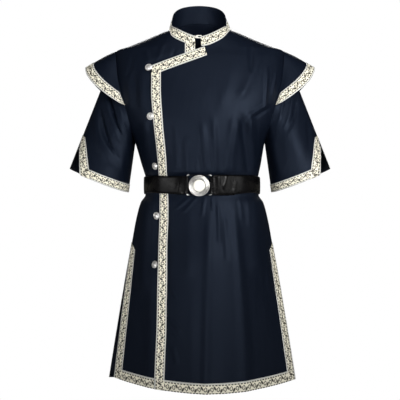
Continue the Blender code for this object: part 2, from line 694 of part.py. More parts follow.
# Trim of the sleeves
for hand_name in HANDS.values():
    for side_name in SIDES.values():
        name = f"sleeve_{side_name}_{hand_name}"
        panel = (points[name], normals[name])
        last, hem = panel[0].shape[1] - 1, len(SLEEVE_ROWS)
        trim(f"trim_vent_{side_name}_{hand_name}", panel, *cells(range(VENT_ROW, hem + 1), (0.0, 1.0 - BUTT)))
        trim(f"trim_cuff_{side_name}_{hand_name}", panel, *cells((hem - 1, hem), range(1, last + 1)))


def turned(name, profile, steps, place, colour, metallic, roughness):
    """A profile of (radius, height) points from axis to axis, turned about its own +Z and then placed."""
    mesh = bpy.data.meshes.new(name)
    shape = bmesh.new()
    line = [shape.verts.new((radius, 0, height)) for radius, height in profile]
    edges = [shape.edges.new(pair) for pair in zip(line, line[1:])]
    bmesh.ops.spin(shape, geom=line + edges, cent=(0, 0, 0), axis=(0, 0, 1), angle=2 * math.pi, steps=steps,
                   use_merge=True)
    bmesh.ops.remove_doubles(shape, verts=shape.verts, dist=1e-6)
    bmesh.ops.recalc_face_normals(shape, faces=shape.faces)
    shape.to_mesh(mesh)
    shape.free()
    mesh.materials.append(material(name, colour, metallic, roughness))
    made = bpy.data.objects.new(name, mesh)
    made.matrix_world = place
    bpy.context.scene.collection.objects.link(made)
    return made


def tube(name, path, radius, sides, closed, facing):
    """A round wire along a path of points that lies across the direction facing."""
    path = np.asarray(path, float)
    if closed:
        along = unit(np.roll(path, -1, 0) - np.roll(path, 1, 0))
    else:
        along = unit(np.gradient(path, axis=0))
    across = unit(np.cross(along, facing))
    up = np.cross(across, along)
    turn = np.linspace(0, 2 * math.pi, sides, endpoint=False)[:, None, None]
    rings = (path + radius * (np.cos(turn) * across + np.sin(turn) * up)).transpose(1, 0, 2)
    count = len(path)
    number = np.arange(count * sides).reshape(count, sides)
    if closed:
        number = np.concatenate([number, number[:1]])
    a, b = number[:-1], number[1:]
    faces = np.stack([a, np.roll(a, -1, 1), np.roll(b, -1, 1), b], -1).reshape(-1, 4).tolist()
    if not closed:
        faces += [number[0, ::-1].tolist(), number[-1].tolist()]
    made = put(name, rings.reshape(-1, 3), faces, SILVER, 1.0, 0.25)
    shape = bmesh.new()
    shape.from_mesh(made.data)
    bmesh.ops.recalc_face_normals(shape, faces=shape.faces)
    shape.to_mesh(made.data)
    shape.free()
    return made


def reach(grid, spot, axis):
    """Height along an axis at which it meets the facets of a grid of points."""
    corners = (np.s_[:-1, :-1], np.s_[:-1, 1:], np.s_[1:, 1:], np.s_[1:, :-1])
    a, b, c, d = (grid[corner].reshape(-1, 3) for corner in corners)
    first, second, third = (np.concatenate(both) for both in ((a, a), (b, c), (c, d)))
    one, two = second - first, third - first
    side_of = np.cross(axis, two)
    scale = (one * side_of).sum(-1)
    scale = np.where(np.abs(scale) < 1e-15, 1e-15, scale)
    away = spot - first
    u = (away * side_of).sum(-1) / scale
    turned_away = np.cross(away, one)
    v = (turned_away @ axis) / scale
    height = (two * turned_away).sum(-1) / scale
    hit = (u >= 0) & (v >= 0) & (u + v <= 1) & (np.abs(height) < 0.03)
    return float(height[hit].max())


# Buttons: centre, and how far each is turned about the upright and tipped up, in degrees
BUTTONS = table(
    "x z turn tip raise",
    (-0.1279, -0.1125, 0, 0, 0.0),
    (-0.1225, -0.2330, 0, 0, 0.0),
    (-0.1105, -0.3560, 6, 0, 0.0012),
    (-0.1075, -0.4818, 0, 0, 0.0),
    (-0.1122, -0.6013, 6, 8, 0.0012),
)
SHANK = 0.0024
BUTTON_HEAD = table(
    "radius rise",
    (0.0078, 0.0002),
    (0.0093, 0.0010),
    (0.0093, 0.0016),
    (0.0080, 0.0020),
    (0.0070, 0.0018),
    (0.0046, 0.0036),
    (0.0000, 0.0043),
)
for number, (x, z, turn, tip, lifted) in enumerate(zip(*BUTTONS.values()), 1):
    near = np.array([[x - 0.002, z], [x + 0.002, z], [x, z - 0.002], [x, z + 0.002]])
    left, right, low, high = np.stack([near[:, 0], body_depth(FRONT, near[:, 0], near[:, 1]), near[:, 1]], -1)
    out = unit(np.cross(right - left, high - low))
    spot = np.array([x, body_depth(FRONT, x, z), z])
    leaning = Matrix.Rotation(math.radians(-turn), 3, "Z") @ Matrix.Rotation(math.radians(-tip), 3, "X")
    axis = np.array(leaning) @ out
    up = unit(np.cross(axis, np.cross((0.0, 0.0, 1.0), axis)))
    across = np.cross(up, axis)
    place = Matrix(np.vstack([np.column_stack([across, up, axis, spot]), [0, 0, 0, 1]]).tolist())
    swings = np.linspace(0, 2 * math.pi, 13)
    ring = [spot + SHANK * (math.cos(swing) * up + math.sin(swing) * across) for swing in swings]
    foot = max(reach(points["front_under"], p, axis) for p in ring) + AIR
    head = 0.0022 + lifted
    profile = [(0, foot), (SHANK, foot), (SHANK, head)]
    profile += [(radius, head + rise) for radius, rise in zip(*BUTTON_HEAD.values())]
    turned(f"button_{number}", profile, 16, place, SILVER, 1.0, 0.25)

# Belt strap: a band round the waist whose ends fold round the upright wires of the buckle's frame
belt_level = (BELT_TOP + BELT_LOW) / 2
fold_radius = FRAME_WIRE + AIR + BELT_WALL / 2
waist_turn = np.linspace(0, 2 * math.pi, 1200)
waist_x = smooth(BODY, "middle", belt_level) + np.sin(waist_turn) * smooth(BODY, "half", belt_level)
waist_front = np.cos(waist_turn) > 0
front_y, back_y = (body_depth(side, waist_x, belt_level, False) for side in (FRONT, BACK))
waist_y = np.where(waist_front, front_y, back_y)
waist = np.stack([waist_x, waist_y], -1)
heading = unit(np.gradient(waist, axis=0))
aside = np.stack([-heading[:, 1], heading[:, 0]], -1)
near_buckle = np.where(waist_front, np.abs(waist_x - BUCKLE_X), 1)
stand_off = BELT_CLEAR + BELT_WALL / 2 + BELT_LIFT * step(0.085, 0.040, near_buckle)
middle_line = waist - aside * stand_off[:, None]
kept = middle_line[near_buckle > FRAME_HALF_WIDE]
run = np.concatenate([[0], np.cumsum(np.linalg.norm(np.diff(kept, axis=0), axis=1))])
spots = np.linspace(0, run[-1], BELT_COLUMNS)
strap = np.stack([np.interp(spots, run, kept[:, k]) for k in range(2)], -1)
frame_y = float(strap[0, 1] + strap[-1, 1]) / 2 + fold_radius
ends = []
for spot, hand in ((strap[0], LEFT), (strap[-1], RIGHT)):
    swing = np.radians((0, 36, 72, 108, 144, 180))
    centre = np.array([BUCKLE_X + hand * FRAME_HALF_WIDE, frame_y])
    bend = centre - fold_radius * np.stack([hand * np.sin(swing), np.cos(swing)], -1)
    ends.append(np.concatenate([bend, [bend[-1] + np.array([hand * BELT_TUCK, 0.0002])]]))
path = np.concatenate([ends[0][::-1], strap[1:-1], ends[1]])
heading = unit(np.gradient(path, axis=0))
aside = np.stack([-heading[:, 1], heading[:, 0]], -1) * BELT_WALL / 2


def upright(line):
    """A band of two rows over a plan line."""
    rows = [np.column_stack([line, np.full(len(line), z)]) for z in (BELT_LOW, BELT_TOP)]
    return np.stack(rows)


wall("belt_strap", upright(path - aside), upright(path + aside), LEATHER, 0.4)

# Buckle: a wire frame, a dished ring in front of it and a domed boss in the ring
frame = []
for x_sign, z_sign, first in ((1, 1, 0), (-1, 1, 90), (-1, -1, 180), (1, -1, 270)):
    for swing in np.radians((first, first + 30, first + 60, first + 90)):
        frame_x = x_sign * (FRAME_HALF_WIDE - FRAME_CORNER) + FRAME_CORNER * math.cos(swing)
        frame_z = z_sign * (FRAME_HALF_TALL - FRAME_CORNER) + FRAME_CORNER * math.sin(swing)
        frame.append((BUCKLE_X + frame_x, frame_y, belt_level + frame_z))
tube("buckle_frame", frame, FRAME_WIRE, 10, True, np.array([0.0, 1.0, 0.0]))

ring_back = frame_y - fold_radius - BELT_WALL / 2 - RING_CLEAR
flange = frame_y - FRAME_WIRE - AIR - ring_back
facing = Matrix.Translation((BUCKLE_X, ring_back, BUCKLE_Z)) @ Matrix.Rotation(math.pi / 2, 4, "X")
RING = table(
    "radius rise",
    (0.0254, -0.0002),
    (0.0264, 0.0006),
    (0.0266, 0.0018),
    (0.0256, 0.0030),
    (0.0238, 0.0030),
    (0.0226, 0.0020),
    (0.0180, 0.0026),
    (0.0168, 0.0034),
    (0.0158, 0.0030),
    (0.0156, 0.0012),
    (0.0000, 0.0012),
)
ring = [(0, 0), (0.0222, 0), (0.0222, -flange), (0.0254, -flange), *zip(*RING.values())]
turned("buckle_ring", ring, 28, facing, SILVER, 1.0, 0.25)
BOSS = table(
    "radius rise",
    (0.0000, 0.0016),
    (0.0148, 0.0016),
    (0.0152, 0.0026),
    (0.0146, 0.0036),
    (0.0122, 0.0049),
    (0.0080, 0.0060),
    (0.0000, 0.0067),
)
turned("buckle_boss", list(zip(*BOSS.values())), 28, facing, SILVER, 1.0, 0.3)

# Hook and eye inside the collar's ends, in the slanted plane of its front
slope = unit((collar_top[0] - base[0]) * np.array([0, 1, 1]))
face = np.cross(slope, (1.0, 0.0, 0.0))
hook_spot = mix(base[0], collar_top[0], HOOK_SHARE) * np.array([0, 1, 1])
inside = STIFF_WALL + AIR + HOOK_WIRE + HOOK_CLEAR
EYE = table(
    "x up out",
    (0.0125, 0.0034, 0),
    (0.0040, 0.0034, 0),
    (-0.0024, 0.0032, 0),
    (-0.0034, 0.0020, 0),
    (-0.0034, -0.0020, 0),
    (-0.0024, -0.0032, 0),
    (0.0040, -0.0034, 0),
    (0.0125, -0.0034, 0),
)
HOOK = table(
    "x up out",
    (-0.0210, 0.0022, 0),
    (-0.0140, 0.0022, 0),
    (-0.0105, 0.0018, 0.0016),
    (-0.0010, 0.0016, 0.0018),
    (0.0002, 0.0010, 0.0018),
    (0.0002, -0.0010, 0.0018),
    (-0.0010, -0.0016, 0.0018),
    (-0.0105, -0.0018, 0.0016),
    (-0.0140, -0.0022, 0),
    (-0.0210, -0.0022, 0),
)
for name, wire in (("collar_eye", EYE), ("collar_hook", HOOK)):
    x, up, out = (column[:, None] for column in wire.values())
    path = hook_spot + x * np.array([1, 0, 0]) + up * slope + (out - inside) * face
    tube(name, path, HOOK_WIRE, 8, False, face)
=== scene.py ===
"""Looks of a medieval tunic in its worn form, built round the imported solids.

Every sewn piece is a thin shell worked out on a grid of points. The body, the front lap, the sleeves, the
shoulder caps and the collar follow the sizes of the solids, with finer creases, and woven ribbon, leather,
buttons and the buckle lie on them. Sizes are in metres, +Z is up and the front faces -Y.
"""

from __future__ import annotations

import logging
import math
from abc import ABC, abstractmethod
from dataclasses import dataclass, field
from enum import Enum
from typing import Callable, Sequence

import bpy
import numpy as np
from numpy.typing import NDArray
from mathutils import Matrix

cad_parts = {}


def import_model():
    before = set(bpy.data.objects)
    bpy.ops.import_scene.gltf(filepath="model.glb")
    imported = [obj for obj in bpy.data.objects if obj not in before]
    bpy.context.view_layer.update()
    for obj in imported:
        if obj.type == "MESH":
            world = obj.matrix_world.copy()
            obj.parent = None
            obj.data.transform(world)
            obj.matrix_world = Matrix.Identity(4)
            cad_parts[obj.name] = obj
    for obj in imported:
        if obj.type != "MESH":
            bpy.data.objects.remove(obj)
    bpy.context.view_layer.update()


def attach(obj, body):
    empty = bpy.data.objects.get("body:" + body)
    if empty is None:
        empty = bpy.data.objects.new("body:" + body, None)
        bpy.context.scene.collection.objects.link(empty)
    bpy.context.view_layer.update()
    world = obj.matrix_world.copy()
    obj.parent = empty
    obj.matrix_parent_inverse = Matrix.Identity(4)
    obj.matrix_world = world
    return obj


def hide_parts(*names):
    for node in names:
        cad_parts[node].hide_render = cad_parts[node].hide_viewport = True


Array = NDArray[np.float64]
Value = Array | float
Pair = tuple[float, float]
Colour = tuple[float, float, float]
Spot = tuple[float, float, float]
Socket = bpy.types.NodeSocket
Thing = bpy.types.Object
Material = bpy.types.Material
Tree = bpy.types.NodeTree
LOG = logging.getLogger("tunic")
MILLIMETRES = 1000.0
PATTERN = "pattern"

CLOTH_WALL = 0.0014
STIFF_WALL = 0.0020
RIBBON_WALL = 0.0008
RIBBON_WIDE = 0.025
# Shares of a ribbon's half width between which its edge rises, and its wall there as a share
RIBBON_EDGE = (0.62, 0.76)
RIBBON_SWELL = (0.85, 1.15)
# How far a shell's rounded rim stands out, as a share of its wall
RIM_OUT = 0.45
AIR = 0.00035
BUCKLE_X = -0.0022


class Side(Enum):
    """Half of the body that a piece lies on, with the sign of its Y."""

    FRONT = -1
    BACK = 1


class Hand(Enum):
    """The wearer's side, with the sign of its X."""

    RIGHT = -1
    LEFT = 1


class Hold(Enum):
    """How a cut of cloth is held."""

    HUNG = "hung"
    LAID = "laid"
    STRETCHED = "stretched"


@dataclass(frozen=True)
class Table:
    """Rows of values under named columns, in units of which per make one."""

    names: str
    rows: tuple[tuple[float, ...], ...]
    per: float = 1.0

    def column(self, name: str) -> Array:
        """One column as an array of whole units."""
        place = self.names.split().index(name)
        return np.array([row[place] for row in self.rows], float) / self.per

    def columns(self, axes: int = 0) -> list[Array]:
        """All columns, each with so many further axes of length one."""
        return [self.column(name).reshape((-1,) + (1,) * axes) for name in self.names.split()]

    def at(self, name: str, key: Value) -> Array:
        """A column's value at any value of the first column.

        The curve is a monotone cubic: between two rows it is the Hermite blend of their values, with slopes
        that are the weighted harmonic mean of the rises on both sides, or 0 where those turn over.

        Args:
            name: The column.
            key: Values of the first column to read it at.

        Returns:
            The values, in the shape of key.
        """
        keys = self.columns()[0]
        order = np.argsort(keys)
        x, y = keys[order], self.column(name)[order]
        gap = np.diff(x)
        rise = np.diff(y) / gap
        slope = np.zeros_like(y)
        slope[0], slope[-1] = rise[0], rise[-1]
        before, after = 2 * gap[1:] + gap[:-1], gap[1:] + 2 * gap[:-1]
        kept = rise[:-1] * rise[1:] > 0
        low, high = np.where(kept, rise[:-1], 1), np.where(kept, rise[1:], 1)
        slope[1:-1] = np.where(kept, (before + after) / (before / low + after / high), 0)
        spot = np.clip(key, x[0], x[-1])
        k = np.clip(np.searchsorted(x, spot) - 1, 0, len(gap) - 1)
        t = (spot - x[k]) / gap[k]
        start = (1 + 2 * t) * (1 - t) ** 2 * y[k] + t * (1 - t) ** 2 * gap[k] * slope[k]
        return start + t * t * (3 - 2 * t) * y[k + 1] + t * t * (t - 1) * gap[k] * slope[k + 1]


BODY = Table(
    "height middle half front back square corner",
    (
        (0.035, 0.0000, 0.0745, 0.0560, 0.0620, 2.5, 0.50),
        (0.000, 0.0000, 0.0806, 0.0620, 0.0800, 2.5, 0.50),
        (-0.014, 0.0000, 0.1120, 0.0665, 0.0865, 2.5, 0.50),
        (-0.028, 0.0000, 0.1448, 0.0710, 0.0920, 2.5, 0.50),
        (-0.042, 0.0000, 0.1800, 0.0760, 0.0965, 2.5, 0.50),
        (-0.051, 0.0000, 0.2040, 0.0792, 0.0988, 2.5, 0.50),
        (-0.056, 0.0000, 0.2184, 0.0810, 0.1000, 2.5, 0.50),
        (-0.080, 0.0000, 0.2220, 0.0925, 0.1070, 2.5, 0.50),
        (-0.130, 0.0000, 0.2225, 0.1100, 0.1150, 2.5, 0.50),
        (-0.190, 0.0000, 0.2165, 0.1222, 0.1190, 2.5, 0.50),
        (-0.247, 0.0000, 0.1960, 0.1258, 0.1180, 2.5, 0.50),
        (-0.294, 0.0000, 0.1680, 0.1245, 0.1140, 2.5, 0.50),
        (-0.317, 0.0012, 0.1620, 0.1225, 0.1120, 2.4, 0.50),
        (-0.348, 0.0030, 0.1550, 0.1185, 0.1085, 2.3, 0.50),
        (-0.373, 0.0044, 0.1484, 0.1162, 0.1048, 2.2, 0.50),
        (-0.381, 0.0048, 0.1465, 0.1085, 0.1005, 2.2, 0.50),
        (-0.405, 0.0052, 0.1455, 0.1055, 0.0985, 2.2, 0.50),
        (-0.429, 0.0052, 0.1470, 0.1060, 0.0990, 2.2, 0.50),
        (-0.447, 0.0052, 0.1585, 0.1090, 0.1040, 2.2, 0.54),
        (-0.489, 0.0052, 0.1705, 0.1150, 0.1130, 2.1, 0.66),
        (-0.551, 0.0052, 0.1820, 0.1210, 0.1200, 2.0, 0.84),
        (-0.629, 0.0050, 0.1963, 0.1260, 0.1250, 2.0, 0.92),
        (-0.785, 0.0042, 0.2223, 0.1340, 0.1310, 2.0, 0.97),
        (-0.900, 0.0036, 0.2405, 0.1400, 0.1360, 2.0, 1.00),
        (-0.930, 0.0036, 0.2450, 0.1410, 0.1370, 2.0, 1.00),
    ),
)
# How far the front's neckline dips below its plain curve, by the place across
NECK_DIP = Table(
    "x dip",
    (
        (-0.0806, 0.0000), (-0.0780, 0.0085), (-0.0730, 0.0145), (-0.0647, 0.0118), (-0.0536, 0.0064),
        (-0.0403, 0.0022), (-0.0254, 0.0000), (0.0358, 0.0000), (0.0496, 0.0022), (0.0615, 0.0046),
        (0.0725, 0.0042), (0.0806, 0.0000),
    ),
)
ARMHOLE = Table(
    "height x",
    (
        (-0.056, 0.2184), (-0.080, 0.2160), (-0.130, 0.2106), (-0.190, 0.1950), (-0.247, 0.1790),
        (-0.294, 0.1680),
    ),
)
LAP_EDGE = Table(
    "height x",
    (
        (-0.1045, -0.1213), (-0.168, -0.1215), (-0.231, -0.1170), (-0.268, -0.1136), (-0.318, -0.1080),
        (-0.367, -0.1040), (-0.4295, -0.1012), (-0.479, -0.1013), (-0.541, -0.1034), (-0.640, -0.1059),
        (-0.763, -0.1078), (-0.837, -0.1110), (-0.925, -0.1140),
    ),
)
# Turns in degrees from a sleeve's outer line, by the share of its length: the vent's front edge and the inner
# edges of the ribbon on its front and back
VENT = Table(
    "length edge front back",
    (
        (0.000, 0, 9.1, 9.1), (0.600, 0, 6, 6), (0.660, 0, 9, 6), (0.700, 2, 29, 13), (0.735, 14, 42, 16),
        (0.775, 22, 51, 18), (0.812, 26, 57, 18), (0.845, 33, 62, 18), (0.905, 44, 69.5, 18),
        (1.000, 56, 77, 18),
    ),
)
# A fold's line from its top to its low end, its half widths there, its bow and its rise
FOLD_COLUMNS = "x_top top x_low low wide_top wide_low bow rise"
# The broad folds in millimetres, which the belt presses flat
FRONT_FOLDS = Table(
    FOLD_COLUMNS,
    (
        (106, -30, 48, -228, 16, 13, 0, 1.5), (166, -45, 98, -200, 15, 13, 0, 4.2),
        (86, -222, 66, -392, 8, 6, -4, 3.6), (104, -222, 79, -392, 11, 9, -7, 4.4),
        (101, -218, 124, -392, 9.5, 8.5, 0, -8.5), (124, -214, 145, -392, 9.5, 9, 0, 12),
        (32, -226, 43, -392, 8, 6, 0, 4), (4, -240, 19, -392, 9, 7, 0, 4),
        (-33, -280, -30, -392, 11, 9, 0, 2.8), (24, -440, 12, -930, 10, 12, 0, 4.4),
        (55, -470, 52, -980, 88, 92, 0, 11), (80, -418, 114, -930, 9, 17, 7, 5),
        (148, -418, 160, -650, 26, 30, 0, 12), (-30, -440, -26, -640, 14, 16, 0, 2.4),
        (-146, -418, -150, -700, 18, 20, 0, 14), (-122, -540, -114, -980, 20, 26, 0, 8),
    ),
    MILLIMETRES,
)
BACK_FOLDS = Table(
    FOLD_COLUMNS,
    (
        (-90, -230, -60, -384, 22, 14, 0, 4.5), (-20, -215, -12, -384, 22, 14, 0, 4.5),
        (62, -230, 48, -384, 22, 14, 0, 4.5), (-80, -424, -128, -930, 16, 36, 0, 7),
        (-10, -424, -20, -930, 16, 40, 0, 8), (72, -424, 95, -930, 16, 38, 0, 7),
    ),
    MILLIMETRES,
)
# The finer creases in millimetres, which stop at the belt
FRONT_CREASES = Table(
    FOLD_COLUMNS,
    (
        (171, -98, 164, -222, 5.8, 5.8, 0, 4.6), (197, -106, 183, -184, 5.5, 6, 0, 4),
        (180, -195, 124, -232, 11, 11, 0, 3), (180, -206, 124, -243, 11, 11, 0, -4.4),
        (130, -36, 128, -126, 11, 8, 0, -3.4), (152, -240, 150, -350, 6, 6, 0, 2.8),
        (134, -236, 134, -300, 4, 4, 0, -1.4), (60, -330, 63, -392, 4, 3.5, 0, 1.4),
        (26, -316, 34, -392, 3.5, 3.5, 1, 1.4), (-6, -330, 4, -392, 4, 3.5, 1, -1.4),
        (-12, -352, -4, -392, 4, 4, 0, 1.4), (-62, -250, -58, -370, 10, 8, 2, 1.3),
        (-174, -68, -188, -134, 6, 6, 6, -2.6), (-168, -112, -159, -215, 8, 9, 0, -3.2),
        (-184, -124, -177, -225, 8, 8, 0, 3), (-150, -110, -145, -220, 9, 9, 0, 2.6),
        (-137, -60, -128, -100, 8, 7, 0, 1.6), (-92, -42, -106, -90, 8, 7, 0, 1.8),
        (-62, -58, -70, -86, 6, 6, 0, -1.6), (-142, -226, -138, -350, 8, 8, 0, 3.4),
        (-128, -230, -122, -340, 6, 6, 0, -1.8), (-22, -432, -62, -466, 6, 7, 0, 1.8),
        (-6, -432, -46, -478, 6, 8, 0, 1.6), (12, -432, 4, -486, 5, 6, 0, 1.4),
        (44, -440, 48, -560, 5.5, 7, 1, 2), (60, -470, 67, -600, 6, 8, 0, -1.8),
        (30, -432, 32, -470, 4, 5, 0, 1.6), (98, -430, 106, -500, 5, 7, 1, 1.4),
        (120, -430, 126, -520, 6, 8, 0, 1.4), (-83, -440, -84, -700, 11, 12, 0, -3),
        (-79, -652, -56, -690, 6, 6, 0, 2), (-82, -730, -46, -772, 7, 6, 0, 2.2),
        (-74, -764, -52, -786, 6, 5, 0, 1.4), (-68, -800, -56, -850, 7, 8, 0, 1.6),
        (168, -490, 176, -680, 6, 7, 0, 2.6), (-20, -640, -14, -930, 14, 18, 0, 1),
        (-152, -440, -160, -600, 6, 8, 0, 1.6),
    ),
    MILLIMETRES,
)
BACK_CREASES = Table(
    FOLD_COLUMNS,
    (
        (150, -110, 90, -235, 10, 9, 4, 1.8), (-154, -104, -100, -215, 10, 9, -4, 1.8),
        (30, -250, 22, -374, 9, 6, 2, 1.8), (-50, -262, -34, -374, 9, 6, -2, 1.8),
        (92, -240, 80, -372, 10, 7, 2, 1.6), (-118, -250, -104, -372, 10, 7, 2, 1.6),
        (36, -436, 42, -540, 6, 9, 1, 2), (-46, -436, -56, -560, 6, 10, 1, 2),
        (104, -436, 122, -570, 7, 11, 1, 1.8), (-112, -436, -130, -520, 7, 10, 1, 1.8),
        (36, -520, 40, -930, 12, 20, 0, -2.8), (-60, -520, -76, -930, 12, 20, 0, -2.8),
    ),
    MILLIMETRES,
)
# Creases of the sleeves by hand and side, 0 for both, with turns in degrees from the outer line
SLEEVE_FOLDS = Table(
    "hand side turn_top top turn_low low wide rise",
    (
        (0, 0, 112, 0.05, 84, 0.75, 16, 0.0022), (0, 0, 146, 0.10, 128, 0.85, 14, 0.0026),
        (-1, -1, 44, 0.185, 112, 0.300, 16, -0.0100), (-1, -1, 44, 0.270, 112, 0.410, 22, 0.0022),
        (-1, -1, 42, 0.395, 110, 0.600, 15, -0.0100), (-1, -1, 40, 0.480, 104, 0.760, 24, 0.0022),
        (-1, -1, 92, 0.100, 118, 0.190, 14, 0.0018), (-1, -1, 30, 0.500, 60, 0.700, 12, -0.0014),
        (-1, -1, 118, 0.350, 136, 0.800, 8, 0.0014), (1, -1, 54, 0.220, 92, 0.350, 14, 0.0034),
        (1, -1, 44, 0.315, 86, 0.420, 13, -0.0050), (1, -1, 76, 0.280, 86, 0.880, 22, 0.0054),
        (1, -1, 34, 0.540, 60, 0.760, 10, -0.0030), (1, -1, 72, 0.090, 104, 0.200, 10, 0.0018),
        (1, -1, 66, 0.120, 96, 0.230, 9, -0.0016), (1, -1, 100, 0.300, 112, 0.800, 9, 0.0012),
        (0, 1, 50, 0.200, 108, 0.330, 20, -0.0030), (0, 1, 48, 0.380, 104, 0.600, 20, -0.0028),
        (0, 1, 70, 0.150, 92, 0.620, 10, 0.0016), (0, 1, 52, 0.300, 60, 0.800, 9, 0.0012),
    ),
)


def soft_step(start: float, end: float, value: Value) -> Array:
    """Step from 0 at start to 1 at end, as 3t^2 - 2t^3."""
    t = np.clip((value - start) / (end - start), 0.0, 1.0)
    return t * t * (3.0 - 2.0 * t)


def mix(a: Value, b: Value, share: Value) -> Value:
    """Straight blend from a to b."""
    return a + (b - a) * share


def unit(vectors: Array) -> Array:
    """Vectors made one long."""
    return vectors / np.maximum(np.linalg.norm(vectors, axis=-1, keepdims=True), 1e-12)


def run_lengths(points: Array) -> Array:
    """Lengths along the first axis of points, from 0 at its start."""
    steps = np.linalg.norm(np.diff(points, axis=0), axis=-1)
    return np.concatenate([np.zeros_like(steps[:1]), np.cumsum(steps, axis=0)])


def refined(stops: Sequence[float], spacing: float) -> Array:
    """The stops with evenly spaced values between them, no further apart than the spacing."""
    parts = []
    for start, end in zip(stops, stops[1:]):
        count = max(1, math.ceil(abs(end - start) / spacing))
        parts.append(np.linspace(start, end, count, endpoint=False))
    return np.append(np.concatenate(parts), stops[-1])


def rounded(profile: Array, times: int = 2) -> Array:
    """A line with its corners cut: each pass puts points at a quarter and three quarters of every length."""
    for _ in range(times):
        near, far = mix(profile[:-1], profile[1:], 0.25), mix(profile[:-1], profile[1:], 0.75)
        inner = np.stack([near, far], 1).reshape(-1, profile.shape[1])
        profile = np.concatenate([profile[:1], inner, profile[-1:]])
    return profile


def ridges(folds: Table, x: Array, z: Array, hem: float, trough: float) -> Array:
    """Height of soft ridges along slanted lines.

    Each adds rise * exp(-d^2) * (1 - trough * d^2), where d is the sideways distance from its bowed line over
    its half width. It fades in over its first quarter and out over its last fifth, unless it passes the hem.

    Args:
        folds: One row for each ridge.
        x: Places across.
        z: Heights.
        hem: Height below which a ridge's low end doesn't fade.
        trough: Depth of the hollows on both sides of a ridge, as a share.

    Returns:
        The summed height, in the shape of x.
    """
    x_top, top, x_low, low, wide_top, wide_low, bow, rise = folds.columns(np.ndim(x))
    along = (top - z) / (top - low)
    line = mix(x_top, x_low, along) + bow * 4 * along * (1 - along)
    wide = mix(wide_top, wide_low, np.clip(along, 0, 1))
    fade = soft_step(0, 0.25, along) * np.where(low < hem, 1.0, soft_step(1, 0.8, along))
    across = ((x - line) / wide) ** 2
    return (rise * fade * np.exp(-across) * (1 - trough * across)).sum(0)


@dataclass(frozen=True)
class Surface:
    """A grid of points on the outer face of a sewn piece, with their outward normals."""

    points: Array
    normals: Array

    @classmethod
    def facing(cls, points: Array, out: float) -> Surface:
        """A surface with normals square to its grid lines, on the side that out's sign says."""
        across, down = np.gradient(points, axis=1), np.gradient(points, axis=0)
        return cls(points, unit(out * np.cross(across, down)))

    def sample(self, row: Array, column: Array) -> Surface:
        """The surface at fractional rows and columns, blended bilinearly."""
        r = np.minimum(np.floor(row).astype(int), self.points.shape[0] - 2)
        c = np.minimum(np.floor(column).astype(int), self.points.shape[1] - 2)
        u, v = (row - r)[..., None], (column - c)[..., None]

        def read(grid: Array) -> Array:
            """One grid at those places."""
            near = mix(grid[r, c], grid[r, c + 1], v)
            return mix(near, mix(grid[r + 1, c], grid[r + 1, c + 1], v), u)

        return Surface(read(self.points), unit(read(self.normals)))

    def part(self, rows: Sequence[float], columns: Sequence[float]) -> Surface:
        """The surface at every pair of the given rows and columns."""
        row, column = np.meshgrid(np.array(rows, float), np.array(columns, float), indexing="ij")
        return self.sample(row, column)

    def moved(self, distance: Value) -> Array:
        """Its points moved out along the normals."""
        return self.points + self.normals * np.asarray(distance)[..., None]

    def hand(self) -> float:
        """1 where steps down the rows and along the columns make a right hand with the normal, else -1."""
        steps = np.gradient(self.points, axis=(0, 1))
        return float(np.sign((np.cross(*steps) * self.normals).sum()))

    def cut(self) -> tuple[float, float, float]:
        """Width, length and area of the piece laid flat."""
        wide = float(run_lengths(self.points.swapaxes(0, 1))[-1].max())
        long = float(run_lengths(self.points)[-1].max())
        a, b = np.diff(self.points, axis=0)[:, :-1], np.diff(self.points, axis=1)[:-1]
        area = float(np.linalg.norm(np.cross(a, b), axis=-1).sum())
        return round(wide, 3), round(long, 3), round(area, 4)

    def flat_map(self) -> Array:
        """Places on the cloth in metres: length along each row from its middle, and down each column."""
        across = run_lengths(self.points.swapaxes(0, 1)).T
        return np.stack([across - across[:, -1:] / 2, run_lengths(self.points)], -1)


def mesh_thing(
    name: str, points: Array, faces: Sequence[Array], flat_map: Array | None, sharp: float = 50
) -> Thing:
    """An object from points and faces, turned so that its faces point out.

    Args:
        name: The object's name.
        points: Its points, one to a row.
        faces: Arrays of corner numbers, one for each count of corners.
        flat_map: Places of the points on the pattern, or None.
        sharp: Angle in degrees above which an edge shades sharp.

    Returns:
        The linked object.
    """
    fans = np.concatenate([
        np.stack([f[:, 0], f[:, k], f[:, k + 1]], 1) for f in faces for k in range(1, f.shape[1] - 1)
    ])
    a, b, c = (points[fans[:, k]] for k in range(3))
    if (a * np.cross(b, c)).sum() < 0:
        faces = [f[:, ::-1] for f in faces]
    mesh = bpy.data.meshes.new(name)
    mesh.from_pydata(points.tolist(), [], [corner for f in faces for corner in f.tolist()])
    mesh.polygons.foreach_set("use_smooth", np.ones(len(mesh.polygons), bool))
    mesh.set_sharp_from_angle(angle=math.radians(sharp))
    if flat_map is not None:
        corners = np.empty(len(mesh.loops), np.int32)
        mesh.loops.foreach_get("vertex_index", corners)
        layer = mesh.uv_layers.new(name=PATTERN)
        layer.data.foreach_set("uv", flat_map[corners].astype(np.float32).ravel())
    thing = bpy.data.objects.new(name, mesh)
    bpy.context.scene.collection.objects.link(thing)
    return thing


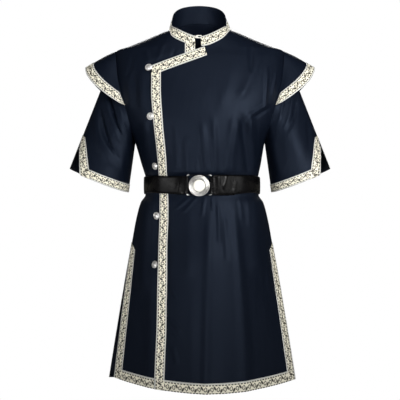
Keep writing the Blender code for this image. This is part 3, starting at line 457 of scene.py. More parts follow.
def shell(name: str, outer: Array, inner: Array, flat_map: Array) -> Thing:
    """A closed wall between two grids, with a rounded rim.

    The rim's middle line lies a share of the wall beyond the edge, along the line from each edge point's
    inner neighbour.

    Args:
        name: The object's name.
        outer: Grid of the outer face.
        inner: Grid of the inner face.
        flat_map: Places of the grid's points on the pattern.

    Returns:
        The linked object.
    """
    rows, columns = outer.shape[:2]
    number = np.arange(rows * columns).reshape(rows, columns)
    face = np.stack([number[:-1, :-1], number[:-1, 1:], number[1:, 1:], number[1:, :-1]], -1).reshape(-1, 4)
    rim = np.concatenate([number[0], number[1:, -1], number[-1, -2::-1], number[-2:0:-1, 0]])
    row, column = np.unravel_index(rim, (rows, columns))
    neighbour = outer[np.clip(row, 1, rows - 2), np.clip(column, 1, columns - 2)]
    edge_out, edge_in = outer.reshape(-1, 3)[rim], inner.reshape(-1, 3)[rim]
    wall = np.linalg.norm(edge_out - edge_in, axis=-1, keepdims=True)
    middle = (edge_out + edge_in) / 2 + unit(edge_out - neighbour) * wall * RIM_OUT
    far, mid = rows * columns, 2 * rows * columns + np.arange(len(rim))
    after, mid_after = np.roll(rim, -1), np.roll(mid, -1)
    bead = [np.stack([rim, mid, mid_after, after], 1), np.stack([mid, rim + far, after + far, mid_after], 1)]
    points = np.concatenate([outer.reshape(-1, 3), inner.reshape(-1, 3), middle])
    places = flat_map.reshape(-1, 2)
    faces = np.concatenate([face, face[:, ::-1] + far, *bead])
    return mesh_thing(name, points, [faces], np.concatenate([places, places, places[rim]]))


def turned(name: str, profile: Array, spot: Array, axis: Array, segments: int = 72) -> Thing:
    """A round piece: each profile point (radius, height) turned about an axis through a spot.

    A point is spot + height * axis + radius * (cos t * across + sin t * up). The profile starts and ends on
    the axis, where one point closes it. The pattern map holds the radius and the height.

    Args:
        name: The object's name.
        profile: Points (radius, height), from axis to axis.
        spot: Where height is 0 on the axis.
        axis: Direction of the axis.
        segments: Points in each ring.

    Returns:
        The linked object.
    """
    up = unit(np.cross(axis, np.cross((0.0, 0.0, 1.0), axis)))
    across = np.cross(up, axis)
    turn = np.linspace(0, 2 * math.pi, segments, endpoint=False)[None, :, None]
    ring = profile[1:-1, None, :]
    rings = spot + ring[..., 1:] * axis + ring[..., :1] * (np.cos(turn) * across + np.sin(turn) * up)
    count = len(profile) - 2
    number = np.arange(count * segments).reshape(count, segments)
    beside = np.roll(number, -1, 1)
    sides = np.stack([number[:-1], beside[:-1], beside[1:], number[1:]], -1).reshape(-1, 4)
    first, last = np.full(segments, count * segments), np.full(segments, count * segments + 1)
    start, end = np.stack([first, beside[0], number[0]], 1), np.stack([last, number[-1], beside[-1]], 1)
    caps = np.concatenate([start, end])
    poles = spot + profile[[0, -1], 1:] * axis
    places = np.concatenate([np.repeat(profile[1:-1], segments, 0), profile[[0, -1]]])
    return mesh_thing(name, np.concatenate([rings.reshape(-1, 3), poles]), [sides, caps], places, sharp=38)


def tube(name: str, path: Array, radius: float, facing: Array, closed: bool, sides: int = 14) -> Thing:
    """A round wire along a path that lies across a direction; an open one is closed by flat ends.

    Args:
        name: The object's name.
        path: Points of its middle line.
        radius: The wire's radius.
        facing: The direction that the path lies across.
        closed: True where its end joins its start.
        sides: Points in each ring.

    Returns:
        The linked object.
    """
    ahead = np.roll(path, -1, 0) - np.roll(path, 1, 0) if closed else np.gradient(path, axis=0)
    across = unit(np.cross(unit(ahead), facing))
    up = np.cross(across, unit(ahead))
    turn = np.linspace(0, 2 * math.pi, sides, endpoint=False)[None, :, None]
    rings = path[:, None] + radius * (np.cos(turn) * across[:, None] + np.sin(turn) * up[:, None])
    number = np.arange(len(path) * sides).reshape(len(path), sides)
    lines = np.concatenate([number, number[:1]]) if closed else number
    a, b = lines[:-1], lines[1:]
    faces = [np.stack([a, np.roll(a, -1, 1), np.roll(b, -1, 1), b], -1).reshape(-1, 4)]
    if not closed:
        faces.append(np.stack([number[0, ::-1], number[-1]]))
    places = np.stack(np.meshgrid(np.linspace(0, 1, len(path)), np.linspace(0, 1, sides), indexing="ij"), -1)
    return mesh_thing(name, rings.reshape(-1, 3), faces, places.reshape(-1, 2))


class Graph:
    """Adds and joins the nodes of one shader tree."""

    def __init__(self, tree: Tree) -> None:
        """Takes the tree that gets the nodes."""
        self.tree = tree

    def node(self, kind: str, **settings: object) -> bpy.types.Node:
        """A new node with its settings."""
        made = self.tree.nodes.new(kind)
        for name, value in settings.items():
            setattr(made, name, value)
        return made

    def feed(self, socket: Socket, value: object) -> None:
        """Joins a socket to another, or sets its own value."""
        if isinstance(value, Socket):
            self.tree.links.new(value, socket)
        else:
            socket.default_value = value

    def math(self, operation: str, *values: Socket | float) -> Socket:
        """Result of a Math node."""
        made = self.node("ShaderNodeMath", operation=operation)
        for socket, value in zip(made.inputs, values):
            self.feed(socket, value)
        return made.outputs[0]

    def length(self, x: Socket, y: Socket) -> Socket:
        """Length of (x, y)."""
        return self.math("SQRT", self.math("MULTIPLY_ADD", x, x, self.math("MULTIPLY", y, y)))

    def between(self, value: Socket, low: float, high: float, start: float = 0.0, end: float = 1.0) -> Socket:
        """Soft step from start at low to end at high."""
        made = self.node("ShaderNodeMapRange", interpolation_type="SMOOTHSTEP")
        names = ("Value", "From Min", "From Max", "To Min", "To Max")
        for name, given in zip(names, (value, low, high, start, end)):
            self.feed(made.inputs[name], given)
        return made.outputs["Result"]

    def noise(self, place: Socket, scale: float, detail: float = 3.0, roughness: float = 0.55) -> Socket:
        """Value of a noise texture."""
        made = self.node("ShaderNodeTexNoise")
        given = {"Vector": place, "Scale": scale, "Detail": detail, "Roughness": roughness}
        for name, value in given.items():
            self.feed(made.inputs[name], value)
        return made.outputs[0]

    def stretched(self, place: Socket, scale: Spot) -> Socket:
        """A place scaled along its axes."""
        made = self.node("ShaderNodeMapping")
        self.feed(made.inputs["Vector"], place)
        made.inputs["Scale"].default_value = scale
        return made.outputs[0]

    def parts(self, place: Socket) -> list[Socket]:
        """X, Y and Z of a place."""
        made = self.node("ShaderNodeSeparateXYZ")
        self.feed(made.inputs[0], place)
        return list(made.outputs)

    def pattern(self) -> Socket:
        """Place on the piece's own pattern."""
        return self.node("ShaderNodeUVMap", uv_map=PATTERN).outputs[0]

    def place(self) -> Socket:
        """Place in the piece's own frame."""
        return self.node("ShaderNodeTexCoord").outputs["Object"]

    def colours(self, share: Socket, a: Socket | Colour, b: Socket | Colour) -> Socket:
        """Blend of two colours."""
        made = self.node("ShaderNodeMix", data_type="RGBA")
        self.feed(made.inputs[0], share)
        for socket, value in ((made.inputs[6], a), (made.inputs[7], b)):
            self.feed(socket, value if isinstance(value, Socket) else (*value, 1.0))
        return made.outputs[2]

    def bump(self, height: Socket, distance: float, strength: float, below: Socket | None = None) -> Socket:
        """Normal of a Bump node, over another one if given."""
        made = self.node("ShaderNodeBump")
        self.feed(made.inputs["Height"], height)
        made.inputs["Distance"].default_value = distance
        made.inputs["Strength"].default_value = strength
        if below is not None:
            self.feed(made.inputs["Normal"], below)
        return made.outputs[0]

    def effect(self, tree: Tree, **inputs: Socket | float) -> bpy.types.NodeOutputs:
        """Outputs of a shader group with its inputs set."""
        made = self.node("ShaderNodeGroup", node_tree=tree)
        for name, value in inputs.items():
            self.feed(made.inputs[name], value)
        return made.outputs


class Effects:
    """Shader groups that the finishes share, each built once."""

    def __init__(self) -> None:
        """Builds every group."""
        self.weave = self._weave()
        self.tone = self._tone()
        self.scroll = self._scroll()

    @staticmethod
    def _group(
        name: str, inputs: dict[str, float | None], outputs: Sequence[str]
    ) -> tuple[Graph, dict[str, Socket], dict[str, Socket]]:
        """A new group with named sockets; an input whose value is None is a place."""
        tree = bpy.data.node_groups.new(name, "ShaderNodeTree")
        for title, value in inputs.items():
            kind = "NodeSocketVector" if value is None else "NodeSocketFloat"
            socket = tree.interface.new_socket(title, in_out="INPUT", socket_type=kind)
            if value is not None:
                socket.default_value = value
        for title in outputs:
            tree.interface.new_socket(title, in_out="OUTPUT", socket_type="NodeSocketFloat")
        graph = Graph(tree)
        enter, leave = graph.node("NodeGroupInput"), graph.node("NodeGroupOutput")
        return graph, {s.name: s for s in enter.outputs}, {s.name: s for s in leave.inputs}

    def _weave(self) -> Tree:
        """Satin weave: floats as |sin| across the threads, shifted in each row and tied every few rows."""
        shift, tied_every, flatness = 0.2, 5, 0.3
        graph, enter, leave = self._group("thread_weave", {"Place": None, "Threads": 2000.0}, ["Height"])
        u, v, _ = graph.parts(enter["Place"])
        across = graph.math("MULTIPLY", u, enter["Threads"])
        along = graph.math("MULTIPLY", v, enter["Threads"])
        slant = graph.math("MULTIPLY_ADD", along, shift, across)
        float_height = graph.math("ABSOLUTE", graph.math("SINE", graph.math("MULTIPLY", slant, math.pi)))
        tied = graph.math("ABSOLUTE", graph.math("SINE", graph.math("MULTIPLY", along, math.pi / tied_every)))
        graph.feed(leave["Height"], graph.math("MULTIPLY", float_height, graph.math("POWER", tied, flatness)))
        return graph.tree

    def _tone(self) -> Tree:
        """Uneven tone: broad noise with a share of fine noise, spread about a half by the contrast."""
        finer, fine_share = 14.0, 0.2
        names = {"Place": None, "Scale": 10.0, "Contrast": 1.0}
        graph, enter, leave = self._group("uneven_tone", names, ["Tone"])
        scaled = graph.node("ShaderNodeVectorMath", operation="SCALE")
        graph.feed(scaled.inputs[0], enter["Place"])
        graph.feed(scaled.inputs["Scale"], enter["Scale"])
        broad = graph.noise(scaled.outputs[0], scale=1.0)
        fine = graph.noise(scaled.outputs[0], scale=finer, detail=2.0)
        both = graph.math("MULTIPLY_ADD", fine, fine_share, graph.math("MULTIPLY", broad, 1 - fine_share))
        off = graph.math("MULTIPLY", graph.math("SUBTRACT", both, 0.5), enter["Contrast"])
        clamped = graph.node("ShaderNodeClamp")
        graph.feed(clamped.inputs[0], graph.math("ADD", off, 0.5))
        graph.feed(leave["Tone"], clamped.outputs[0])
        return graph.tree

    def _scroll(self) -> Tree:
        """Running scroll of the ribbon, drawn in pitches along it and across it.

        Each pitch is one cell, turned over from the cell before. A groove coils inwards in it: it lies where
        (reach - r) / coil is the share of the turn from straight up, and a dot fills its middle. A dark leaf,
        an ellipse on a slant, lies between two cells, to one side and then to the other. A row of dashes and
        a pale band follow both sides.
        """
        names = {"Place": None, "Pitch": 0.0161, "Half": RIBBON_WIDE / 2}
        graph, enter, leave = self._group("running_scroll", names, ["Scroll", "Edge", "Height"])
        reach, coil, groove, dot, blur, strength = 0.285, 0.130, 0.070, 0.035, 0.020, 0.92
        leaf_wide, leaf_long, leaf_off, slant, leaf_rim = 0.185, 0.260, 0.165, 0.45, (1.15, 0.80)
        dash_start, dash_end, dash_rim, band_start = 0.570, 0.775, (0.40, 0.30), 0.790
        u, v, _ = graph.parts(enter["Place"])
        along = graph.math("DIVIDE", u, enter["Pitch"])
        across = graph.math("DIVIDE", v, enter["Pitch"])
        x, y = self._cell(graph, along, across, 0.0)
        r = graph.length(x, y)
        behind = graph.math("SUBTRACT", math.pi / 2, graph.math("ARCTAN2", y, x))
        share = graph.math("FLOORED_MODULO", behind, 2 * math.pi)
        line = graph.math("MULTIPLY_ADD", share, -coil / (2 * math.pi), reach)
        off = graph.math("ABSOLUTE", graph.math("SUBTRACT", r, line))
        coiled = graph.between(off, groove + blur, groove - blur)
        middle = graph.between(r, dot + blur, dot - blur)
        dark = graph.math("MULTIPLY", graph.math("MAXIMUM", coiled, middle), strength)
        x, y = self._cell(graph, along, across, 0.5)
        y = graph.math("SUBTRACT", y, leaf_off)
        x = graph.math("DIVIDE", graph.math("MULTIPLY_ADD", y, slant, x), leaf_wide)
        leaf = graph.between(graph.length(x, graph.math("DIVIDE", y, leaf_long)), *leaf_rim)
        dark = graph.math("MAXIMUM", dark, leaf)
        side = graph.math("DIVIDE", graph.math("ABSOLUTE", v), enter["Half"])
        step = graph.math("FRACT", graph.math("MULTIPLY", along, 2.0))
        beat = graph.math("ABSOLUTE", graph.math("SUBTRACT", step, 0.5))
        row = graph.math(
            "MULTIPLY",
            graph.between(side, dash_start - blur, dash_start + blur),
            graph.between(side, dash_end + blur, dash_end - blur),
        )
        dash = graph.math("MULTIPLY", graph.between(beat, *dash_rim), row)
        inside = graph.between(side, dash_start, dash_start - 2 * blur)
        dark = graph.math("MAXIMUM", graph.math("MULTIPLY", dark, inside), dash)
        scroll = graph.math("SUBTRACT", 1.0, dark)
        edge = graph.between(side, band_start - blur, band_start + blur)
        graph.feed(leave["Scroll"], scroll)
        graph.feed(leave["Edge"], edge)
        graph.feed(leave["Height"], graph.math("MAXIMUM", scroll, edge))
        return graph.tree

    @staticmethod
    def _cell(graph: Graph, along: Socket, across: Socket, shift: float) -> tuple[Socket, Socket]:
        """Places in a cell from its middle, every other cell turned over; the cells begin at the shift."""
        moved = graph.math("ADD", along, shift)
        cell = graph.math("FLOOR", moved)
        x = graph.math("SUBTRACT", graph.math("SUBTRACT", moved, cell), 0.5)
        over = graph.math("MULTIPLY_ADD", graph.math("FLOORED_MODULO", cell, 2.0), -2.0, 1.0)
        return x, graph.math("MULTIPLY", across, over)


class Finish(ABC):
    """A material of the tunic."""

    name: str

    def material(self, effects: Effects) -> Material:
        """The finish as a material with one Principled shader."""
        made = bpy.data.materials.new(self.name)
        made.use_nodes = True
        graph = Graph(made.node_tree)
        self.dress(graph, made.node_tree.nodes["Principled BSDF"].inputs, effects)
        return made

    @abstractmethod
    def dress(self, graph: Graph, shader: bpy.types.NodeInputs, effects: Effects) -> None:
        """Sets the shader's own values and joins what changes over the surface."""


@dataclass(frozen=True)
class Satin(Finish):
    """Navy satin with a soft sheen, a fine weave and small uneven creases."""

    name: str = "navy_satin"
    deep: Colour = (0.0023, 0.0039, 0.0084)
    light: Colour = (0.0033, 0.0052, 0.0106)
    sheen: Colour = (0.56, 0.71, 1.00)
    specular: float = 0.150
    rough: float = 0.45
    rough_spread: float = 0.08

    def dress(self, graph: Graph, shader: bpy.types.NodeInputs, effects: Effects) -> None:
        """Tone, roughness and two layers of bump on the pattern's own map."""
        place = graph.pattern()
        uneven = graph.stretched(place, (1.6, 0.7, 1.0))
        tone = graph.effect(effects.tone, Place=uneven, Scale=14.0, Contrast=1.6)[0]
        graph.feed(shader["Base Color"], graph.colours(tone, self.deep, self.light))
        graph.feed(shader["Roughness"], graph.math("MULTIPLY_ADD", tone, self.rough_spread, self.rough))
        drawn = graph.stretched(place, (1.0, 0.32, 1.0))
        creases = graph.noise(drawn, scale=42.0, roughness=0.5)
        threads = graph.effect(effects.weave, Place=place, Threads=2400.0)[0]
        soft = graph.bump(creases, distance=0.0020, strength=0.45)
        graph.feed(shader["Normal"], graph.bump(threads, distance=0.00006, strength=0.5, below=soft))
        shader["Specular IOR Level"].default_value = self.specular
        shader["Specular Tint"].default_value = (*self.sheen, 1.0)


@dataclass(frozen=True)
class Ribbon(Finish):
    """Woven ribbon: a cream scroll with dark olive leaves between pale bands."""

    name: str = "scroll_ribbon"
    ground: Colour = (0.012, 0.011, 0.006)
    cream: Colour = (0.88, 0.84, 0.685)
    band: Colour = (0.56, 0.56, 0.53)
    dust: Colour = (0.42, 0.38, 0.28)
    dusty: float = 0.14

    def dress(self, graph: Graph, shader: bpy.types.NodeInputs, effects: Effects) -> None:
        """Scroll colours, thread ribs and relief on the ribbon's own map."""
        place = graph.pattern()
        scroll, edge, height = graph.effect(effects.scroll, Place=place)
        tone = graph.effect(effects.tone, Place=place, Scale=160.0, Contrast=1.2)[0]
        threads = graph.effect(effects.weave, Place=place, Threads=1300.0)[0]
        drawn = graph.colours(scroll, self.ground, self.cream)
        banded = graph.colours(edge, drawn, self.band)
        worn = graph.colours(graph.math("MULTIPLY", tone, self.dusty), banded, self.dust)
        graph.feed(shader["Base Color"], worn)
        graph.feed(shader["Roughness"], graph.math("MULTIPLY_ADD", scroll, -0.15, 0.62))
        relief = graph.bump(height, distance=0.0004, strength=0.5)
        graph.feed(shader["Normal"], graph.bump(threads, distance=0.00012, strength=0.5, below=relief))


@dataclass(frozen=True)
class Leather(Finish):
    """Black leather with a pebbled grain and a worn gloss."""

    name: str = "black_leather"
    deep: Colour = (0.0012, 0.0012, 0.0014)
    worn: Colour = (0.0034, 0.0032, 0.0034)
    specular: float = 0.09
    rough: float = 0.20
    rough_spread: float = 0.16

    def dress(self, graph: Graph, shader: bpy.types.NodeInputs, effects: Effects) -> None:
        """Tone, gloss, grain and fine wrinkles on the strap's own map."""
        place = graph.pattern()
        tone = graph.effect(effects.tone, Place=place, Scale=40.0, Contrast=1.8)[0]
        graph.feed(shader["Base Color"], graph.colours(tone, self.deep, self.worn))
        graph.feed(shader["Roughness"], graph.math("MULTIPLY_ADD", tone, self.rough_spread, self.rough))
        pebbles = graph.node("ShaderNodeTexVoronoi", feature="SMOOTH_F1")
        graph.feed(pebbles.inputs["Vector"], place)
        pebbles.inputs["Scale"].default_value = 900.0
        drawn = graph.stretched(place, (1.0, 0.45, 1.0))
        wrinkles = graph.noise(drawn, scale=90.0, detail=4.0, roughness=0.6)
        soft = graph.bump(wrinkles, distance=0.0008, strength=0.35)
        grain = graph.bump(pebbles.outputs[0], distance=0.00010, strength=0.25, below=soft)
        graph.feed(shader["Normal"], grain)
        shader["Specular IOR Level"].default_value = self.specular


@dataclass(frozen=True)
class Silver(Finish):
    """White metal with fine turning lines and uneven tarnish."""

    name: str = "bright_silver"
    bright: Colour = (0.50, 0.49, 0.47)
    dull: Colour = (0.20, 0.19, 0.18)
    roughness: float = 0.28
    lines: float = 1500.0
    metal: float = 1.0
    tarnished: Pair = (0.35, 0.9)
    tarnish: float = 0.5

    def dress(self, graph: Graph, shader: bpy.types.NodeInputs, effects: Effects) -> None:
        """Tone and roughness on the piece's own place, and turning lines by the profile's map."""
        radius = graph.parts(graph.pattern())[0]
        tone = graph.effect(effects.tone, Place=graph.place(), Scale=220.0, Contrast=1.8)[0]
        tarnish = graph.math("MULTIPLY", graph.between(tone, *self.tarnished), self.tarnish)
        graph.feed(shader["Base Color"], graph.colours(tarnish, self.bright, self.dull))
        graph.feed(shader["Roughness"], graph.math("MULTIPLY_ADD", tone, 0.16, self.roughness))
        rings = graph.math("SINE", graph.math("MULTIPLY", radius, self.lines * 2 * math.pi))
        graph.feed(shader["Normal"], graph.bump(rings, distance=0.00004, strength=0.35))
        shader["Metallic"].default_value = self.metal


@dataclass(frozen=True)
class WornSteel(Finish):
    """Blackened steel of the buckle's frame, rubbed bright at its corners."""

    name: str = "worn_steel"
    black: Colour = (0.012, 0.012, 0.013)
    rubbed: Colour = (0.85, 0.84, 0.82)
    middle: Pair = (BUCKLE_X, -0.4048)
    worn: Pair = (0.0335, 0.0375)

    def dress(self, graph: Graph, shader: bpy.types.NodeInputs, effects: Effects) -> None:
        """Colour by the distance from the frame's middle, and roughness by the tone."""
        place = graph.place()
        x, _, z = graph.parts(place)
        across = graph.math("SUBTRACT", x, self.middle[0])
        up = graph.math("SUBTRACT", z, self.middle[1])
        tone = graph.effect(effects.tone, Place=place, Scale=300.0, Contrast=1.5)[0]
        rubbed = graph.between(graph.length(across, up), *self.worn)
        graph.feed(shader["Base Color"], graph.colours(rubbed, self.black, self.rubbed))
        graph.feed(shader["Roughness"], graph.math("MULTIPLY_ADD", tone, 0.20, 0.25))
        shader["Metallic"].default_value = 1.0


@dataclass(frozen=True)
class Lay:
    """How a ribbon's pattern lies: the sides on which others join its ends, and a band turned under.

    A side is -1 or 1, or 0 for none. Where a ribbon joins, the pale band there runs out of sight.
    """

    start: int = 0
    end: int = 0
    under: int = 0
    shown: float = 0.49
    kept: float = 0.76
    join_start: float = RIBBON_WIDE + 0.001
    join_end: float = RIBBON_WIDE - 0.003

    def places(self, along: Array, share: Array) -> Array:
        """Places on the pattern in metres, by lengths along the ribbon and shares across it."""
        half = RIBBON_WIDE / 2
        u, v = np.meshgrid(along, share, indexing="ij")
        if self.under:
            v = np.where(self.under > 0, mix(-1, self.kept, (v + 1) / 2), mix(-self.kept, 1, (v + 1) / 2))
        for side, reach in ((self.start, u), (self.end, along[-1] - u)):
            inner = mix(-side, side * self.shown, (1 + side * v) / 2)
            v = mix(v, inner, abs(side) * soft_step(self.join_start, self.join_end, reach))
        return np.stack([u, v * half], -1)


@dataclass
class Workroom:
    """Materials, and what every finished piece gets."""

    satin: Material
    ribbon: Material
    leather: Material
    silver: Material
    pearl: Material
    steel: Material
    button: Material

    @classmethod
    def opened(cls) -> Workroom:
        """A workroom with its materials made."""
        effects = Effects()
        pearl = Silver(
            "satin_silver", (0.92, 0.90, 0.82), (0.84, 0.82, 0.74), roughness=0.45, lines=700.0, metal=0.25
        )
        button = Silver("button_silver", (0.74, 0.73, 0.71), (0.42, 0.41, 0.39), roughness=0.30, metal=0.8)
        finishes = (Satin(), Ribbon(), Leather(), Silver(), pearl, WornSteel(), button)
        return cls(*(finish.material(effects) for finish in finishes))

    def fit(self, thing: Thing, node: str, material: Material) -> Thing:
        """Dresses a piece, fixes it to the body and lets it stand for its solid."""
        thing.data.materials.append(material)
        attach(thing, "root")
        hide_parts(node)
        LOG.info("%s: %d points", thing.name, len(thing.data.vertices))
        return thing

    def sew(
        self, node: str, surface: Surface, wall: Value, hold: Hold, rests_on: Sequence[str] = ()
    ) -> Thing:
        """A cloth piece: a shell of the wall's thickness inside its outer face.

        Args:
            node: The solid it stands for.
            surface: Its outer face.
            wall: Its thickness.
            hold: How the cloth is held; not used.
            rests_on: Pieces that it lies on; not used.

        Returns:
            The finished piece.
        """
        thing = shell(f"{node}_cloth", surface.points, surface.moved(-wall), surface.flat_map())
        self.fit(thing, node, self.satin)
        wide, long, area = surface.cut()
        return thing

    def bind(self, node: str, surface: Surface, along_rows: bool, rests_on: Thing, lay: Lay = Lay()) -> Thing:
        """A ribbon over part of a surface, raised a little at both edges.

        Args:
            node: The solid it stands for.
            surface: The part of the panel that it covers.
            along_rows: True where the ribbon runs from row to row, False where it runs from column to column.
            rests_on: The panel's piece; not used.
            lay: How its pattern meets other ribbons and edges.

        Returns:
            The finished ribbon.
        """
        if not along_rows:
            surface = Surface(surface.points.swapaxes(0, 1), surface.normals.swapaxes(0, 1))
        along = run_lengths(surface.points).mean(1)
        share = np.linspace(-1, 1, surface.points.shape[1])
        edge = soft_step(*RIBBON_EDGE, np.abs(share))
        top = AIR + RIBBON_WALL * mix(*RIBBON_SWELL, edge)
        places = lay.places(along, share) * (surface.hand(), 1)
        thing = shell(f"{node}_ribbon", surface.moved(top), surface.moved(AIR), places)
        self.fit(thing, node, self.ribbon)
        wide, long, area = surface.cut()
        return thing


@dataclass(frozen=True)
class Figure:
    """Form that the cut gives the body: widths and depths by height, with its folds."""

    seam_gap: float = 0.0002
    shoulder_tip: float = -0.056
    shoulder_half: float = 0.2184
    armpit: float = -0.294
    belt_top: float = -0.383
    belt_low: float = -0.4265
    slit_top: float = -0.553
    hem: float = -0.900
    hem_drop: float = 0.0215
    hem_lift: float = 0.0035
    hem_half: float = 0.240
    back_hem_drop: float = 0.0055
    neck_half: float = 0.0806
    neck_front_drop: float = 0.055
    neck_back_rise: float = 0.027
    neck_square: float = 2.2
    corner: Pair = (-0.1213, -0.1045)
    lap_neck: Pair = (0.0106, -0.0556)
    under_edge: float = -0.0126
    lap_inset: float = 0.0036
    lap_fade: Pair = (-0.020, -0.001)
    slit_inset: float = 0.0175
    slit_past: float = 1.1
    front_stand: Pair = (0.056, 0.044)
    back_stand: Pair = (0.022, 0.026)
    stand_turn: float = 0.2
    belt_press: float = 0.12
    press_ends: Pair = (0.021, 0.036)
    crease_ends: Pair = (0.020, 0.034)
    crease_trough: float = 0.7
    samples: int = 400

    def belt_middle(self) -> float:
        """Height of the belt's middle line."""
        return (self.belt_top + self.belt_low) / 2

    def slit_share(self, z: Value) -> Array:
        """How far down its slit a height is, from 0 at the top to 1 at the hem and a little past it."""
        return np.clip((self.slit_top - z) / (self.slit_top - self.hem), 0, self.slit_past)

    def half_width(self, x: Value, z: Value, side: Side) -> Array:
        """Half the body's width; the front's right edge is set in along its slit."""
        inset = self.slit_inset * self.slit_share(z) * (np.asarray(x) < 0) * (side is Side.FRONT)
        return BODY.at("half", z) - inset

    def share(self, x: Value, z: Value, side: Side) -> Array:
        """How far out x is, from 0 on the body's middle line to 1 at its side edge."""
        return np.clip(np.abs(x - BODY.at("middle", z)) / self.half_width(x, z, side), 0, 1)

    def slit_stand(self, x: Value, side: Side) -> Array:
        """How far the slit's edges stand off the side plane at the hem."""
        right, left = self.front_stand if side is Side.FRONT else self.back_stand
        return mix(right, left, soft_step(-self.stand_turn, self.stand_turn, x))

    def folds(self, x: Array, z: Array, side: Side) -> Array:
        """Height of the folds and creases; the belt presses the broad ones flat and stops the fine ones."""
        broad, fine = (FRONT_FOLDS, FRONT_CREASES) if side is Side.FRONT else (BACK_FOLDS, BACK_CREASES)
        off = np.abs(z - self.belt_middle())
        pressed = ridges(broad, x, z, self.hem, 0.0)
        pressed = pressed * mix(self.belt_press, 1.0, soft_step(*self.press_ends, off))
        return pressed + ridges(fine, x, z, self.hem, self.crease_trough) * soft_step(*self.crease_ends, off)

    def depth(self, x: Value, z: Value, side: Side, folded: bool = True) -> Array:
        """Y of the cloth's outer face.

        A level section is edge + (deep - edge) * (1 - share^square)^corner, which goes from an ellipse to a
        squarer arch by height, with the folds laid on it and running out to the side edges.

        Args:
            x: Places across.
            z: Heights.
            side: Front or back.
            folded: False for the plain form under the folds.

        Returns:
            Y, in the shape of x.
        """
        share = self.share(x, z, side)
        deep = BODY.at(side.name.lower(), z)
        edge = self.slit_share(z) * self.slit_stand(x, side)
        arch = (1 - share ** BODY.at("square", z)) ** BODY.at("corner", z)
        out = self.seam_gap / 2 + edge + (deep - edge) * arch
        if folded:
            out = out + self.folds(x, z, side) * (1 - share**4)
        return side.value * out

    def lap_top(self, x: Value) -> Array:
        """Height of the over panel's slanted top edge."""
        (x0, z0), (x1, z1) = self.corner, self.lap_neck
        return mix(z0, z1, (x - x0) / (x1 - x0))

    def lap_drop(self, x: Array, z: Array) -> Array:
        """How far the under panel lies inside the body's face, below the over panel."""
        inside = np.minimum(x - LAP_EDGE.at("x", z), self.lap_top(x) - z)
        return self.lap_inset * soft_step(*self.lap_fade, inside)

    def neck_height(self, x: Value, side: Side) -> Array:
        """Height of the neckline: its depth at the middle times 1 - share^square, less the front's dip."""
        deep = -self.neck_front_drop if side is Side.FRONT else self.neck_back_rise
        plain = deep * (1 - np.clip(np.abs(x) / self.neck_half, 0, 1) ** self.neck_square)
        return plain - NECK_DIP.at("dip", x) * (side is Side.FRONT)

    def neckline(self, side: Side, turns: Array) -> Array:
        """(x, z) of the neckline at turns about the neck from its middle."""
        x = self.neck_half * np.sin(turns)
        return np.stack([x, self.neck_height(x, side)], -1)

    def shoulder(self, hand: Hand, count: int) -> Array:
        """(x, z) along the shoulder seam from the neck to the tip, evenly spaced by x."""
        z = np.linspace(0, self.shoulder_tip, self.samples)
        reach = (BODY.at("half", z) - self.neck_half) / (self.shoulder_half - self.neck_half)
        z = np.interp(np.linspace(0, 1, count), reach, z)
        return np.stack([hand.value * BODY.at("half", z), z], -1)

    def sag(self, x: Value, z: Value, side: Side) -> Array:
        """How far a level row hangs lower at x; the front's hem rises to its right, the back's is longer."""
        down = np.clip((self.belt_low - z) / (self.belt_low - self.hem), 0, 1)
        level = self.back_hem_drop if side is Side.BACK else -self.hem_lift * (1 - x / self.hem_half)
        return down * (self.hem_drop * (1 - self.share(x, z, side) ** 2) + level)

    def side_edge(self, hand: Hand, side: Side) -> Callable[[Value], Array]:
        """X of a panel's outer edge by height: its side seam and slit, then its armhole."""

        def edge(z: Value) -> Array:
            """The edge at heights."""
            away = np.full(np.shape(z), float(hand.value))
            body = BODY.at("middle", z) + hand.value * self.half_width(away, z, side)
            return np.where(np.asarray(z) > self.armpit, hand.value * ARMHOLE.at("x", z), body)

        return edge

    def armhole(self, side: Side, hand: Hand, turn: Array) -> Array:
        """Points of the armhole seam by their turn from the shoulder tip towards the armpit."""
        middle, half = (self.shoulder_tip + self.armpit) / 2, (self.shoulder_tip - self.armpit) / 2
        z = middle + half * np.cos(turn)
        x = hand.value * ARMHOLE.at("x", z)
        return np.stack([x, self.depth(x, z, side), z], -1)


Stops = Callable[[Array, Array, Array], list[float]]


